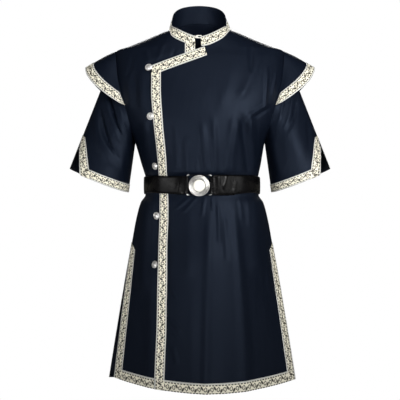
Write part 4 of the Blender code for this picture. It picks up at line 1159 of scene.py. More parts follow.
@dataclass
class BodyPanels:
    """Under front, over front and back, with the ribbons on them."""

    figure: Figure
    room: Workroom
    spacing: float = 0.0032
    bands: int = 8
    above_armpit: float = 0.028
    below_top: float = 0.026
    between: int = 56
    slit_slant: float = 0.018
    square_end: float = 2.2
    roll: float = 0.004
    roll_share: float = 0.55
    wide_columns: int = 130
    under_columns: tuple[int, ...] = (18, 8, 4, 24)
    near_lap: tuple[float, ...] = (-0.022, -0.0012, 0.013)
    lap_corner: float = 0.0235
    samples: int = 500
    surfaces: dict[str, Surface] = field(default_factory=dict)

    def __post_init__(self) -> None:
        """Works out the rows that all three panels share."""
        figure = self.figure
        hem = np.linspace(figure.hem, figure.hem + RIBBON_WIDE, self.bands + 1)[:-1]
        rest = refined((figure.hem + RIBBON_WIDE, figure.slit_top, figure.armpit), self.spacing)
        self.levels = np.concatenate([hem, rest])
        self.slit_row = int(np.argmin(np.abs(self.levels - figure.slit_top)))
        self.arm_row = len(self.levels) - 1

    def row(
        self, side: Side, level: float, ends: Pair, stops: Stops, counts: Sequence[int]
    ) -> Array:
        """(x, z) of one sagging row below the armpit, with columns evenly spaced between its stops."""
        swing = np.linspace(0, math.pi, self.samples)
        x = mix(ends[0], ends[1], (1 - np.cos(swing)) / 2)
        z = level - self.figure.sag(x, level, side)
        length = run_lengths(np.stack([x, self.figure.depth(x, z, side), z], -1))
        marks = stops(x, z, length)
        spots = [np.linspace(a, b, n, endpoint=False) for a, b, n in zip(marks, marks[1:], counts)]
        spots = np.append(np.concatenate(spots), marks[-1])
        return np.stack([np.interp(spots, length, x), np.interp(spots, length, z)], -1)

    def plan(
        self,
        side: Side,
        edges: tuple[Callable[[Value], Array], Callable[[Value], Array]],
        stops: Stops,
        counts: Sequence[int],
        top: Array,
    ) -> Array:
        """(x, z) of a panel's points: sagging rows up to the armpit, then rows that turn into its top edge.

        Args:
            side: Front or back.
            edges: X of the panel's two outer edges by height.
            stops: Lengths along a row that columns have to lie on.
            counts: Columns between those.
            top: (x, z) of the top edge, one for each column.

        Returns:
            The grid of (x, z).
        """
        rows = []
        for level in self.levels:
            ends = [float(edge(level)) for edge in edges]
            ends = [float(edge(level - self.figure.sag(end, level, side))) for edge, end in zip(edges, ends)]
            rows.append(self.row(side, level, (ends[0], ends[1]), stops, counts))
        base = rows[-1]
        tall = top[:, 1] - base[:, 1]
        low = np.linspace(0, self.above_armpit, self.bands)[1:, None]
        high = tall - np.linspace(self.below_top, 0, self.bands + 1)[:, None]
        middle = np.linspace(0, 1, self.between + 2)[1:-1, None]
        heights = np.concatenate([low * np.ones_like(tall), mix(low[-1], high[0], middle), high])
        z = base[:, 1] + heights
        x = mix(base[:, 0], top[:, 0], heights / tall)
        across = np.linspace(0, 1, len(base))
        left, right = edges
        x = x + (1 - across) * (left(z[:, :1]) - x[:, :1]) + across * (right(z[:, -1:]) - x[:, -1:])
        return np.concatenate([np.array(rows), np.stack([x, z], -1)])

    def build(self) -> None:
        """Makes the three panels and their ribbons."""
        self.cut_under()
        self.cut_over()
        self.cut_back()

    def finish(self, name: str, side: Side, plan: Array, rests_on: Sequence[str] = ()) -> Thing:
        """Gives a plan its depth, keeps its surface and sews it."""
        x, z = plan[..., 0], plan[..., 1]
        row = np.arange(len(plan))[:, None] / (self.bands * self.roll_share)
        y = self.figure.depth(x, z, side) - side.value * self.roll * np.clip(1 - row, 0, 1) ** 2
        if name == "front_under":
            y = y + self.figure.lap_drop(x, z)
        self.surfaces[name] = Surface.facing(np.stack([x, y, z], -1), -side.value)
        return self.room.sew(name, self.surfaces[name], CLOTH_WALL, Hold.HUNG, rests_on)

    def slit(self, node: str, panel: str, cloth: Thing, from_last: bool) -> None:
        """Ribbon along a slit, from the hem to a slanted top that falls away from the edge."""
        surface = self.surfaces[panel]
        columns = np.arange(self.bands + 1, dtype=float)
        drop = self.slit_slant * columns / self.bands / self.spacing
        share = np.linspace(0, 1, self.slit_row + 1)[:, None]
        row = share * (self.slit_row - drop)
        column = np.broadcast_to(columns, row.shape)
        if from_last:
            column = surface.points.shape[1] - 1 - column
        part = surface.sample(row, column)
        self.room.bind(node, part, True, cloth, Lay(start=1))

    @staticmethod
    def both_edges(x: Array, z: Array, length: Array) -> list[float]:
        """Stops of a row with a ribbon along both of its ends."""
        return [0, RIBBON_WIDE, length[-1] - RIBBON_WIDE, length[-1]]

    def cut_under(self) -> None:
        """The under front: right shoulder, neckline and the upright strip at its edge."""
        figure, last, around = self.figure, self.bands, 30
        counts = (last, *self.under_columns, last)
        inner = figure.under_edge - RIBBON_WIDE
        turns = np.linspace(-math.pi / 2, math.asin(inner / figure.neck_half), around + 1)
        strip = np.arcsin(np.linspace(inner, figure.under_edge, last + 1)[1:] / figure.neck_half)
        columns = sum(counts) - around - last
        shoulder = figure.shoulder(Hand.RIGHT, columns + 1)[::-1]
        necks = [figure.neckline(Side.FRONT, part) for part in (turns[1:], strip)]
        top = np.concatenate([shoulder, *necks])

        def stops(x: Array, z: Array, length: Array) -> list[float]:
            """Slit ribbon, the lap's edge and the neck strip."""
            lap, end = np.interp(0, x - LAP_EDGE.at("x", z), length), length[-1]
            return [0, RIBBON_WIDE, *(lap + off for off in self.near_lap), end - RIBBON_WIDE, end]

        def inner_edge(z: Value) -> Array:
            """The strip's free edge."""
            return np.full(np.shape(z), figure.under_edge)

        edges = (figure.side_edge(Hand.RIGHT, Side.FRONT), inner_edge)
        cloth = self.finish("front_under", Side.FRONT, self.plan(Side.FRONT, edges, stops, counts, top))
        surface = self.surfaces["front_under"]
        rows, columns = surface.points.shape[:2]
        lap_column = sum(counts[:3])
        self.slit("trim_slit_front_right", "front_under", cloth, False)
        hem = surface.part(range(last + 1), range(last, lap_column + 1))
        self.room.bind("trim_hem_under", hem, False, cloth, Lay(under=-1))
        neck = surface.part(np.arange(rows - 1 - 2 * last, rows - 0.5), range(columns - 1 - last, columns))
        self.room.bind("trim_neck", neck, True, cloth)

    def cut_over(self) -> None:
        """The over front: slanted top edge, neckline and left shoulder."""
        figure, last, slanted, around = self.figure, self.bands, 40, 34
        counts = (last, self.wide_columns, last)
        start, end = figure.corner[0], figure.lap_neck[0]
        x = np.concatenate([
            np.linspace(start, start + self.lap_corner, last + 1),
            np.linspace(start + self.lap_corner, end, slanted + 1)[1:],
        ])
        turns = np.linspace(math.asin(end / figure.neck_half), math.pi / 2, around + 1)
        neck = figure.neckline(Side.FRONT, turns[1:])
        columns = sum(counts) - len(x) + 1 - len(neck)
        shoulder = figure.shoulder(Hand.LEFT, columns + 1)[1:]
        top = np.concatenate([np.stack([x, figure.lap_top(x)], -1), neck, shoulder])

        def lap_edge(z: Value) -> Array:
            """The lap's free edge."""
            return LAP_EDGE.at("x", z)

        edges = (lap_edge, figure.side_edge(Hand.LEFT, Side.FRONT))
        plan = self.plan(Side.FRONT, edges, self.both_edges, counts, top)
        cloth = self.finish("front_over", Side.FRONT, plan, ["front_under_cloth"])
        surface = self.surfaces["front_over"]
        rows, columns = surface.points.shape[:2]
        self.slit("trim_slit_front_left", "front_over", cloth, True)
        hem = surface.part(range(last + 1), range(last, columns - last))
        self.room.bind("trim_hem_over", hem, False, cloth, Lay(under=-1))
        lap = surface.part(range(rows - last), range(last + 1))
        self.room.bind("trim_lap", lap, True, cloth, Lay(start=1))
        up = np.arange(last + 1.0)[:, None]
        column = np.linspace(0, 1, len(x)) * (len(x) - 1 + self.square_end * (1 - up / last))
        diagonal = surface.sample(rows - 1 - last + up * np.ones_like(column), column)
        self.room.bind("trim_diagonal", diagonal, False, cloth, Lay(start=-1))

    def cut_back(self) -> None:
        """The back: both shoulders and the neckline between them."""
        figure, last, around = self.figure, self.bands, 60
        counts = (last, self.wide_columns, last)
        turns = np.linspace(-math.pi / 2, math.pi / 2, around + 1)
        columns = (sum(counts) - around) // 2
        right = figure.shoulder(Hand.RIGHT, columns + 1)[::-1]
        left = figure.shoulder(Hand.LEFT, columns + 1)
        top = np.concatenate([right, figure.neckline(Side.BACK, turns[1:-1]), left])
        edges = (figure.side_edge(Hand.RIGHT, Side.BACK), figure.side_edge(Hand.LEFT, Side.BACK))
        cloth = self.finish("back", Side.BACK, self.plan(Side.BACK, edges, self.both_edges, counts, top))
        surface = self.surfaces["back"]
        self.slit("trim_slit_back_right", "back", cloth, False)
        self.slit("trim_slit_back_left", "back", cloth, True)
        hem = surface.part(range(last + 1), range(last, surface.points.shape[1] - last))
        self.room.bind("trim_hem_back", hem, False, cloth, Lay(under=-1))

    def armhole_column(self, hand: Hand, side: Side) -> tuple[Array, Array]:
        """Points and normals of the panel's armhole edge, from the shoulder tip down."""
        panel = "back" if side is Side.BACK else "front_under" if hand is Hand.RIGHT else "front_over"
        column = 0 if hand is Hand.RIGHT else -1
        surface = self.surfaces[panel]
        rows = slice(None, self.arm_row - 1, -1)
        return surface.points[rows, column], surface.normals[rows, column]


@dataclass
class Sleeves:
    """Front and back halves of both sleeves, slit at the outer seam, with their ribbons."""

    figure: Figure
    room: Workroom
    middle: Pair = (0.262, -0.3910)
    outward: Pair = (0.076, 0.0300)
    deep: float = 0.077
    hem_drop: float = 0.0048
    vent_share: float = 0.770
    cuff_wide: float = 0.0205
    lean: Pair = (0.93, 0.37)
    crease_fade: float = 0.3
    rows: int = 46
    vent_rows: int = 12
    bands: int = 8
    columns: int = 52

    def hem(self, side: Side, hand: Hand, turn: Array) -> Array:
        """Points of the hem: half an ellipse, its long axis from the outer corner to the inner bottom."""
        along, across = np.cos(turn), np.sin(turn)
        x = self.middle[0] + self.outward[0] * along
        y = side.value * (self.figure.seam_gap / 2 + self.deep * across)
        z = self.middle[1] + self.outward[1] * along - self.hem_drop * across
        return np.stack([hand.value * x, y, z], -1)

    def turns(self, length: Array, side: Side) -> Array:
        """Turns in radians of a sleeve's columns: the vent's ribbon, then evenly to the underarm."""
        lengths = VENT.column("length")
        edge = np.interp(length[:, 0], lengths, VENT.column("edge") * (side is Side.FRONT))
        inner = np.interp(length[:, self.bands], lengths, VENT.column(side.name.lower()))
        edge, inner = np.radians(edge)[:, None], np.radians(inner)[:, None]
        ribbon = mix(edge, inner, np.linspace(0, 1, self.bands + 1))
        return np.concatenate([ribbon, mix(inner, math.pi, np.linspace(0, 1, self.columns + 1)[1:])], 1)

    def creases(self, turn: Array, length: Array, side: Side, hand: Hand) -> Array:
        """Height of the creases along slanted lines of turn and length, as soft ridges with faded ends."""
        of_hand, of_side, turn_top, top, turn_low, low, wide, rise = SLEEVE_FOLDS.columns(2)
        worn = np.isin(of_hand, (0, hand.value)) & np.isin(of_side, (0, side.value))
        along = (length - top) / (low - top)
        off = ((np.degrees(turn) - mix(turn_top, turn_low, along)) / wide) ** 2
        ends = soft_step(0, self.crease_fade, along) * soft_step(1, 1 - self.crease_fade, along)
        fade = ends * np.sin(turn) ** 0.5
        return (worn * rise * fade * np.exp(-off)).sum(0)

    def surface(self, side: Side, hand: Hand) -> Surface:
        """Outer face of half a sleeve.

        It is ruled from the armhole to the hem at the same turn, by the share of the length, with the creases
        raised along the turn's own outward direction.

        Args:
            side: Front or back half.
            hand: Right or left sleeve.

        Returns:
            Rows from the armhole to the hem, columns from the outer line to the underarm.
        """
        hem_turn = self.turns(np.ones((1, self.bands + self.columns + 1)), side)[0]
        span = self.hem(side, hand, hem_turn) - self.figure.armhole(side, hand, hem_turn)
        cuff = 1 - self.cuff_wide / np.linalg.norm(span, axis=-1)
        above = np.linspace(0, self.vent_share, self.rows - self.vent_rows + 1)
        below = np.linspace(self.vent_share, 1, self.vent_rows)[1:]
        rows = np.outer(np.concatenate([above, below]), cuff)
        length = np.concatenate([rows, mix(cuff, 1.0, np.linspace(0, 1, self.bands + 1)[1:, None])])
        turn = self.turns(length, side)
        start = self.figure.armhole(side, hand, turn)
        points = mix(start, self.hem(side, hand, turn), length[..., None])
        along, up = self.lean
        out = np.stack([hand.value * np.cos(turn) * along, side.value * np.sin(turn), np.cos(turn) * up], -1)
        points = points + out * self.creases(turn, length, side, hand)[..., None]
        return Surface.facing(points, -side.value * hand.value)

    def build(self) -> None:
        """Makes the four halves and their ribbons."""
        for hand in Hand:
            for side in Side:
                ending = f"{side.name.lower()}_{hand.name.lower()}"
                surface = self.surface(side, hand)
                cloth = self.room.sew(f"sleeve_{ending}", surface, CLOTH_WALL, Hold.HUNG)
                vent_row = self.rows - self.vent_rows
                vent = surface.part(range(vent_row, self.rows + self.bands), range(self.bands + 1))
                self.room.bind(f"trim_vent_{ending}", vent, True, cloth, Lay(end=1))
                last = surface.points.shape[1]
                cuff = surface.part(range(self.rows - 1, self.rows + self.bands), range(self.bands, last))
                self.room.bind(f"trim_cuff_{ending}", cuff, False, cloth)


@dataclass
class ShoulderCaps:
    """Stiff caps that stand out over the armholes, edged with ribbon."""

    panels: BodyPanels
    room: Workroom
    out: float = 0.2965
    top: float = -0.1005
    inward: float = 0.0985
    fall: float = 0.1004
    deep: float = 0.065
    end: float = -0.202
    bulge: float = 0.012
    curve: float = 0.6
    foot: float = 0.0004
    thin: float = 0.3
    stiff_from: float = 0.35
    least_cloth: float = 0.14
    rows: int = 14
    bands: int = 8

    def surface(self, hand: Hand) -> tuple[Surface, Array]:
        """Outer face of a cap and its thickness.

        It runs from the armhole seam to an edge at (out - inward * f, deep * sin s, top - fall * f^curve),
        with s the swing from the shoulder tip and f = 1 - cos s. It bulges by bulge * 4 * share * (1 - share)
        of its length.

        Args:
            hand: Right or left shoulder.

        Returns:
            The face, with rows from the seam to the edge and columns from front to back, and its thickness.
        """
        runs = []
        for side in Side:
            seam, normal = self.panels.armhole_column(hand, side)
            kept = seam[:, 2] > self.end
            seam, normal = seam[kept], normal[kept]
            figure = self.panels.figure
            half = (figure.shoulder_tip - figure.armpit) / 2
            turn = np.arccos(np.clip((seam[:, 2] - figure.shoulder_tip) / half + 1, -1, 1))
            runs.append((seam, normal, side.value * math.pi / 2 * turn / turn[-1]))
        seam, normal, swing = (np.concatenate([a[:0:-1], b]) for a, b in zip(*runs))
        seam = seam + normal * self.foot
        part = 1 - np.cos(swing)
        x, z = hand.value * (self.out - self.inward * part), self.top - self.fall * part**self.curve
        edge = np.stack([x, self.deep * np.sin(swing), z], -1)
        long = np.linalg.norm(edge - seam, axis=-1)
        strip = np.maximum(self.least_cloth, 1 - RIBBON_WIDE / long)
        cloth = np.linspace(0, 1, self.rows + 1)[:, None] * strip
        share = np.concatenate([cloth, mix(strip, 1.0, np.linspace(0, 1, self.bands + 1)[1:, None])])
        points = mix(seam, edge, share[..., None])
        lift = Surface.facing(points, -hand.value).normals
        raised = self.bulge * long * 4 * share * (1 - share) + self.wall(share)
        return Surface.facing(points + lift * raised[..., None], -hand.value), self.wall(share)

    def wall(self, share: Array) -> Array:
        """Thickness by the share of the way out: thin where it is sewn in, then stiff."""
        return STIFF_WALL * mix(self.thin, 1.0, soft_step(0.0, self.stiff_from, share))

    def build(self) -> None:
        """Makes both caps and their ribbons."""
        for hand in Hand:
            name = hand.name.lower()
            surface, wall = self.surface(hand)
            cloth = self.room.sew(f"cap_{name}", surface, wall, Hold.STRETCHED)
            rows, columns = surface.points.shape[:2]
            ribbon = surface.part(range(self.rows, rows), range(columns))
            self.room.bind(f"trim_cap_{name}", ribbon, False, cloth)


@dataclass
class StandCollar:
    """Standing collar, open at the front, with its ribbon and its hook and eye."""

    figure: Figure
    room: Workroom
    top_middle: float = -0.0024
    top_half: float = 0.0706
    top_front: float = 0.0715
    top_square: float = 0.65
    top_back: float = 0.0535
    top_side: float = 0.0060
    front_fall: float = 0.0345
    front_curve: float = 1.5
    back_rise: float = 0.066
    back_curve: float = 0.48
    end_right: float = -0.0126
    end_left: float = 0.0042
    foot_front: float = 0.0004
    foot_back: float = -0.0010
    strip_most: float = 0.96
    ribbon_foot: float = 0.25
    bands: int = 8
    rows: int = 12
    columns: int = 150
    hook_share: float = 0.90
    hook_x: float = -0.006
    wire: float = 0.0012

    def lines(self) -> tuple[Array, Array, Array]:
        """Turns about the neck, and the points of the collar's foot and top edge there."""
        figure = self.figure
        start = math.asin(self.end_left / figure.neck_half)
        turn = np.linspace(start, 2 * math.pi + math.asin(self.end_right / figure.neck_half), self.columns)
        front = np.cos(turn) > 0
        x = figure.neck_half * np.sin(turn)
        z = np.where(front, figure.neck_height(x, Side.FRONT), figure.neck_height(x, Side.BACK))
        y = np.where(front, figure.depth(x, z, Side.FRONT), figure.depth(x, z, Side.BACK))
        facing, aside = np.abs(np.cos(turn)), np.abs(np.sin(turn))
        fall = self.top_side - self.front_fall * (1 - aside**self.front_curve)
        rise = self.top_side + self.back_rise * facing**self.back_curve
        top_x = self.top_middle + self.top_half * np.sin(turn)
        top_y = np.where(front, -self.top_front * facing**self.top_square, self.top_back * facing)
        top = np.stack([top_x, top_y, np.where(front, fall, rise)], -1)
        return turn, np.stack([x, y, z], -1), top

    def build(self) -> None:
        """Makes the collar, its ribbon and the hook and eye."""
        turn, foot, top = self.lines()
        tall = np.linalg.norm(top - foot, axis=-1)
        most = self.strip_most
        strip = np.where(np.cos(turn) > 0, most, np.minimum(RIBBON_WIDE / tall, most))
        start = np.where(np.cos(turn) > 0, self.foot_front, self.foot_back) / tall
        low = mix(start, strip, np.linspace(0, 1, self.bands + 1)[:, None])
        share = np.concatenate([low, mix(strip, 1.0, np.linspace(0, 1, self.rows + 1)[1:, None])])
        surface = Surface.facing(mix(foot, top, share[..., None]), 1.0)
        cloth = self.room.sew("collar", surface, STIFF_WALL, Hold.STRETCHED)
        rows = np.linspace(self.ribbon_foot, self.bands, self.bands + 1)
        ribbon = surface.part(rows, range(self.columns))
        self.room.bind("trim_collar", ribbon, False, cloth, Lay(end=-1))
        self.hook(foot[0], top[0])

    def hook(self, foot: Array, top: Array) -> None:
        """Wire hook and eye inside the collar's ends, in the slanted plane of its front."""
        slope = unit((top - foot) * np.array([0, 1, 1]))
        face = np.cross(slope, (1.0, 0.0, 0.0))
        level = mix(foot, top, self.hook_share) * np.array([0, 1, 1])
        spot = level + np.array([self.hook_x, 0, 0]) - face * (STIFF_WALL + AIR + self.wire)
        eye = ((0.0100, 0.0032, 0), (0.0060, 0.0032, 0), (-0.0024, 0.0030, 0), (-0.0034, 0.0020, 0))
        eye += tuple((x, -up, out) for x, up, out in eye[::-1])
        bill = ((-0.0080, 0.0022, 0), (-0.0074, 0.0022, 0), (-0.0062, 0.0018, 0.0018))
        bill += ((-0.0010, 0.0016, 0.0020), (0.0002, 0.0010, 0.0020))
        bill += tuple((x, -up, out) for x, up, out in bill[::-1])
        for node, wire in (("collar_eye", eye), ("collar_hook", bill)):
            x, up, out = rounded(np.array(wire, float)).T[..., None]
            path = spot + x * np.array([1, 0, 0]) + up * slope + out * face
            self.room.fit(tube(f"{node}_wire", path, self.wire, face, False), node, self.room.pearl)


@dataclass
class Buttons:
    """Domed buttons with a rim, sewn beside the lap."""

    figure: Figure
    room: Workroom
    places: Table = Table(
        "x z turn tip raise",
        (
            (-0.1279, -0.1100, 0, 0, 0.0),
            (-0.1225, -0.2330, 0, 0, 0.0),
            (-0.1105, -0.3560, 6, 0, 0.0012),
            (-0.1075, -0.4818, 0, 0, 0.0),
            (-0.1110, -0.6047, 6, 8, 0.0012),
        ),
    )
    head: float = 0.0022
    shank: float = 0.0024
    sunk: float = 0.004
    near: float = 0.002
    profile: Table = Table(
        "radius rise",
        (
            (0.0066, 0.0000), (0.0084, 0.0004), (0.0093, 0.0010), (0.0093, 0.0018), (0.0086, 0.0021),
            (0.0079, 0.0017), (0.0074, 0.0019), (0.0064, 0.0030), (0.0046, 0.0039), (0.0034, 0.0040),
            (0.0031, 0.0044), (0.0022, 0.0045), (0.0018, 0.0042), (0.0000, 0.0044),
        ),
    )

    def build(self) -> None:
        """Makes the buttons, each square to the cloth where it sits but for its own lean."""
        for number, (x, z, turn, tip, lifted) in enumerate(self.places.rows, 1):
            near_x = x + self.near * np.array([-1, 1, 0, 0])
            near_z = z + self.near * np.array([0, 0, -1, 1])
            depth = self.figure.depth(near_x, near_z, Side.FRONT, False)
            left, right, low, high = np.stack([near_x, depth, near_z], -1)
            axis = unit(np.cross(right - left, high - low))
            s, t = math.radians(-turn), math.radians(-tip)
            tipped = np.array([[1, 0, 0], [0, math.cos(t), -math.sin(t)], [0, math.sin(t), math.cos(t)]])
            swung = np.array([[math.cos(s), -math.sin(s), 0], [math.sin(s), math.cos(s), 0], [0, 0, 1]])
            axis = swung @ tipped @ axis
            spot = np.array([x, float(self.figure.depth(np.array([x]), np.array([z]), Side.FRONT)[0]), z])
            dome = np.stack(self.profile.columns(), -1) + np.array([0, self.head + lifted])
            stem = np.array([[0, -self.sunk], [self.shank, -self.sunk], [self.shank, self.head + lifted]])
            profile = np.concatenate([stem, rounded(dome)])
            thing = turned(f"button_{number}_dome", profile, spot, axis)
            self.room.fit(thing, f"button_{number}", self.room.button)


@dataclass
class Belt:
    """Leather strap whose ends fold round the wires of the buckle's frame, with a ring and boss before it."""

    figure: Figure
    room: Workroom
    wall: float = 0.0028
    clear: float = 0.0025
    lift: float = 0.0058
    lift_ends: Pair = (0.085, 0.040)
    buckle: Pair = (BUCKLE_X, -0.4065)
    frame_half: Pair = (0.0305, 0.0245)
    frame_wire: float = 0.0014
    frame_corner: float = 0.0025
    tuck: float = 0.013
    tuck_drift: float = 0.0002
    ring_clear: float = 0.0006
    ring_points: int = 128
    edge_from: float = 0.88
    edge_thin: float = 0.55
    crown: float = 0.0006
    groove: float = 0.00035
    groove_place: float = 0.84
    groove_half: float = 0.03
    crease_ends: Pair = (-0.05, -0.08)
    crease_trough: float = 0.5
    columns: int = 420
    rows: int = 18
    samples: int = 1600
    # How much higher the strap's edges lie in front, by the place across
    edges: Table = Table(
        "x low top",
        (
            (-0.150, 0.0000, 0.0000), (-0.132, 0.0030, 0.0022), (-0.085, 0.0010, 0.0010),
            (-0.045, -0.0012, 0.0002), (-0.033, 0.0000, 0.0000), (0.029, 0.0000, 0.0000),
            (0.037, -0.0034, 0.0030), (0.080, -0.0030, 0.0034), (0.095, 0.0000, 0.0034),
            (0.135, 0.0036, 0.0034), (0.154, 0.0000, 0.0000),
        ),
    )
    # Creases of the strap, with heights as shares of its own
    creases: Table = Table(
        FOLD_COLUMNS,
        (
            (0.036, 1.0, 0.038, 0.0, 0.0022, 0.0022, 0.0012, -0.0012),
            (0.046, 1.1, 0.042, -0.1, 0.0030, 0.0040, 0.0020, 0.0010),
            (0.052, 0.9, 0.060, 0.1, 0.0022, 0.0022, -0.0030, -0.0008),
            (0.066, 1.2, 0.056, 0.3, 0.0030, 0.0030, 0.0030, 0.0008),
            (0.074, 1.0, 0.080, 0.2, 0.0030, 0.0040, 0.0020, -0.0007),
            (0.090, 0.9, 0.084, -0.2, 0.0040, 0.0040, 0.0000, 0.0006),
            (-0.040, 1.1, -0.042, -0.1, 0.0022, 0.0022, 0.0010, -0.0010),
            (-0.050, 0.8, -0.056, 0.0, 0.0040, 0.0040, 0.0020, 0.0006),
        ),
    )

    def path(self) -> tuple[Array, float]:
        """Plan line of the strap's middle, end to end, and Y of the buckle's frame.

        It goes round the unfolded waist at the strap's clearance, lifted near the buckle, and each end turns
        half way round an upright wire.
        """
        figure, level = self.figure, self.figure.belt_middle()
        turn = np.linspace(0, 2 * math.pi, self.samples)
        x = BODY.at("middle", level) + np.sin(turn) * BODY.at("half", level)
        front = np.cos(turn) > 0
        height = np.full_like(x, level)
        front_y, back_y = (figure.depth(x, height, side, False) for side in Side)
        waist = np.stack([x, np.where(front, front_y, back_y)], -1)
        heading = unit(np.gradient(waist, axis=0))
        aside = np.stack([-heading[:, 1], heading[:, 0]], -1)
        near = np.where(front, np.abs(x - self.buckle[0]), 1.0)
        stand = self.clear + self.wall / 2 + self.lift * soft_step(*self.lift_ends, near)
        kept = (waist - aside * stand[:, None])[near > self.frame_half[0]]
        run = run_lengths(kept)
        spots = np.linspace(0, run[-1], self.columns)
        strap = np.stack([np.interp(spots, run, kept[:, k]) for k in range(2)], -1)
        fold = self.frame_wire + AIR + self.wall / 2
        frame_y = float(strap[0, 1] + strap[-1, 1]) / 2 + fold
        swing = np.linspace(0, math.pi, 16)
        ends = []
        for hand in (1, -1):
            centre = np.array([self.buckle[0] + hand * self.frame_half[0], frame_y])
            bend = centre - fold * np.stack([hand * np.sin(swing), np.cos(swing)], -1)
            tail = bend[-1] + np.linspace(0, 1, 7)[1:, None] * np.array([hand * self.tuck, self.tuck_drift])
            ends.append(np.concatenate([bend, tail]))
        return np.concatenate([ends[0][::-1], strap[1:-1], ends[1]]), frame_y

    def strap(self, path: Array) -> None:
        """The strap: the plan line over its height, grooved and rounded at both edges, with its creases."""
        heading = unit(np.gradient(path, axis=0))
        aside = np.stack([-heading[:, 1], heading[:, 0]], -1)
        across = np.linspace(0, 1, self.rows + 1)[:, None]
        low, top = (np.where(path[:, 1] < 0, self.edges.at(name, path[:, 0]), 0.0) for name in ("low", "top"))
        height = mix(self.figure.belt_low + low, self.figure.belt_top + top, across)
        off = np.abs(2 * across - 1)
        edge = self.wall / 2 * (1 - self.edge_thin * soft_step(self.edge_from, 1.0, off))
        groove = self.groove * np.exp(-(((off - self.groove_place) / self.groove_half) ** 2))
        crown = self.crown * (1 - off**2) - groove
        x = np.broadcast_to(path[:, 0], height.shape)
        front = soft_step(*self.crease_ends, np.broadcast_to(path[:, 1], height.shape))
        share = np.broadcast_to(across, height.shape)
        crease = ridges(self.creases, x, share, -math.inf, self.crease_trough) * front
        face = edge + crown + crease

        def at(distance: Array) -> Array:
            """The strap's points at distances outside its middle line."""
            flat = path - aside * distance[..., None]
            return np.concatenate([flat, height[..., None]], -1)

        outer, inner = at(face), at(-edge * np.ones_like(face))
        run = run_lengths(path)
        places = np.stack(np.broadcast_arrays(run[None], height), -1)
        self.room.fit(shell("belt_strap_leather", outer, inner, places), "belt_strap", self.room.leather)

    def build(self) -> None:
        """Makes the strap, the frame, the ring and the boss."""
        path, frame_y = self.path()
        self.strap(path)
        half_wide, half_tall = self.frame_half
        swing = np.radians(np.arange(0, 360, 10.0))
        corner_x = np.where(np.cos(swing + 1e-6) > 0, 1, -1) * (half_wide - self.frame_corner)
        corner_z = np.where(np.sin(swing + 1e-6) > 0, 1, -1) * (half_tall - self.frame_corner)
        x = self.buckle[0] + corner_x + self.frame_corner * np.cos(swing)
        z = self.figure.belt_middle() + corner_z + self.frame_corner * np.sin(swing)
        line = np.stack([x, np.full_like(x, frame_y), z], -1)
        frame = tube("buckle_frame_wire", line, self.frame_wire, np.array([0.0, 1.0, 0.0]), True)
        self.room.fit(frame, "buckle_frame", self.room.steel)
        back = frame_y - (self.frame_wire + AIR + self.wall / 2) - self.wall / 2 - self.ring_clear
        flange = frame_y - self.frame_wire - AIR - back
        spot = np.array([self.buckle[0], back, self.buckle[1]])
        axis = np.array([0.0, -1.0, 0.0])
        ring = turned("buckle_ring_disc", self.ring_profile(flange), spot, axis, self.ring_points)
        self.room.fit(ring, "buckle_ring", self.room.silver)
        boss = turned("buckle_boss_dome", self.boss_profile(), spot, axis, self.ring_points)
        self.room.fit(boss, "buckle_boss", self.room.pearl)

    @staticmethod
    def ring_profile(flange: float) -> Array:
        """(radius, height) of the ring: flange behind, rolled rim, stepped slope, inner bead and floor."""
        behind = [(0, 0), (0.0222, 0), (0.0222, -flange), (0.0254, -flange), (0.0254, -0.0002)]
        face = [(0.0264, 0.0006), (0.0267, 0.0018), (0.0258, 0.0031), (0.0240, 0.0032), (0.0230, 0.0021)]
        steps = [(0.0222, 0.0025), (0.0214, 0.0021), (0.0206, 0.0026), (0.0198, 0.0022), (0.0190, 0.0027)]
        bead = [(0.0182, 0.0026), (0.0174, 0.0035), (0.0164, 0.0034), (0.0158, 0.0026)]
        floor = [(0.0155, 0.0010), (0, 0.0010)]
        return rounded(np.array(behind + face + steps + bead + floor, float))

    @staticmethod
    def boss_profile() -> Array:
        """(radius, height) of the boss: a low dome with a soft shoulder."""
        shoulder = [(0, 0.0014), (0.0146, 0.0014), (0.0151, 0.0024), (0.0148, 0.0036), (0.0136, 0.0046)]
        dome = [(0.0112, 0.0055), (0.0080, 0.0061), (0.0040, 0.0065), (0, 0.0067)]
        return rounded(np.array(shoulder + dome, float))


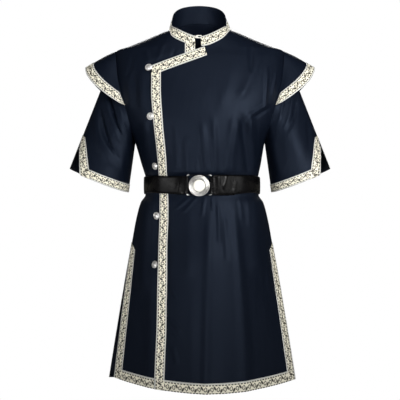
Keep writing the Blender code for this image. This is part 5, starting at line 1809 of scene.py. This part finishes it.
@dataclass(frozen=True)
class Studio:
    """Camera at the photograph's place, soft lights, white surroundings and a pale floor."""

    eye: Spot = (0.0, -2.6, -0.442)
    lens: float = 90.0
    sensor: float = 36.0
    floor: float = -1.45
    floor_half: float = 2.4
    floor_deep: float = 0.02
    floor_sides: int = 96
    floor_dark: Colour = (0.86, 0.86, 0.86)
    floor_pale: Colour = (0.90, 0.90, 0.90)
    unseen: float = 0.05

    def build(self) -> None:
        """Sets the scene up."""
        scene = bpy.context.scene
        scene.view_settings.view_transform = "Standard"
        view = bpy.data.cameras.new("view")
        view.lens, view.sensor_width = self.lens, self.sensor
        camera = bpy.data.objects.new("view", view)
        camera.location = self.eye
        camera.rotation_euler = (math.pi / 2, 0.0, 0.0)
        scene.collection.objects.link(camera)
        scene.camera = camera
        self.light("key", (1.52, -2.5, 0.30), (0.19, 0.0, -0.08), size=0.8, power=4.85, spread=41.0)
        self.light("fill", (-0.95, -2.6, -0.95), (-0.09, 0.0, -0.26), size=1.0, power=1.35, spread=15.0)
        self.light("side", (2.60, -1.6, 0.10), (0.15, 0.0, -0.06), size=1.2, power=0.9, spread=32.0)
        self.light("left", (-2.80, -1.3, -0.10), (-0.28, 0.0, -0.22), size=1.0, power=0.45, spread=20.0)
        self.light("top", (0.10, -1.7, 1.60), (0.0, 0.0, -0.30), size=1.2, power=12.8, spread=180.0)
        self.light("low", (0.20, -2.2, -1.22), (0.03, 0.0, -0.97), size=0.6, power=0.30, spread=28.0)
        self.light("back", (0.0, 3.0, 1.10), (0.0, 0.3, -1.10), size=1.6, power=110.0, spread=180.0)
        self.surroundings()
        self.ground()

    def light(self, name: str, place: Spot, aim: Spot, size: float, power: float, spread: float) -> None:
        """A square soft light.

        Args:
            name: Its name.
            place: Where it hangs.
            aim: What it faces.
            size: Length of its sides.
            power: Its power in watts.
            spread: Angle of its beam in degrees.
        """
        lamp = bpy.data.lights.new(name, "AREA")
        lamp.size, lamp.energy, lamp.spread = size, power, math.radians(spread)
        thing = bpy.data.objects.new(name, lamp)
        thing.location = place
        away = np.array(place) - np.array(aim)
        turn = math.atan2(away[0], -away[1])
        tilt = math.atan2(math.hypot(away[0], away[1]), away[2])
        thing.rotation_euler = (tilt, 0.0, turn)
        bpy.context.scene.collection.objects.link(thing)

    def surroundings(self) -> None:
        """White to the camera and a weaker white to everything else."""
        world = bpy.data.worlds.new("surroundings")
        world.use_nodes = True
        graph = Graph(world.node_tree)
        backing = world.node_tree.nodes["Background"]
        backing.inputs["Color"].default_value = (1.0, 1.0, 1.0, 1.0)
        seen = graph.node("ShaderNodeLightPath").outputs["Is Camera Ray"]
        graph.feed(backing.inputs["Strength"], graph.between(seen, 0.0, 1.0, self.unseen, 1.0))
        bpy.context.scene.world = world

    def ground(self) -> None:
        """A round pale floor well below the hem, with a faint mottle."""
        half, count = self.floor_half, self.floor_sides
        turn = np.linspace(0, 2 * math.pi, count, endpoint=False)
        ring = np.stack([half * np.cos(turn), half * np.sin(turn), np.full_like(turn, self.floor)], -1)
        low = ring - np.array([0.0, 0.0, self.floor_deep])
        side = np.arange(count)
        after = np.roll(side, -1)
        wall = np.stack([side, after, after + count, side + count], 1)
        ends = np.stack([side, side[::-1] + count])
        thing = mesh_thing("floor", np.concatenate([ring, low]), [ends, wall], None)
        made = bpy.data.materials.new("pale_floor")
        made.use_nodes = True
        graph = Graph(made.node_tree)
        shader = made.node_tree.nodes["Principled BSDF"].inputs
        mottle = graph.noise(graph.place(), scale=6.0)
        graph.feed(shader["Base Color"], graph.colours(mottle, self.floor_dark, self.floor_pale))
        shader["Roughness"].default_value = 0.8
        thing.data.materials.append(made)


def main() -> None:
    """Builds the tunic's pieces in order, then the studio."""
    logging.basicConfig(level=logging.INFO, format="%(message)s")
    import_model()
    room, figure = Workroom.opened(), Figure()
    panels = BodyPanels(figure, room)
    panels.build()
    Sleeves(figure, room).build()
    ShoulderCaps(panels, room).build()
    StandCollar(figure, room).build()
    Buttons(figure, room).build()
    Belt(figure, room).build()
    Studio().build()


if __name__ == "__main__":
    main()
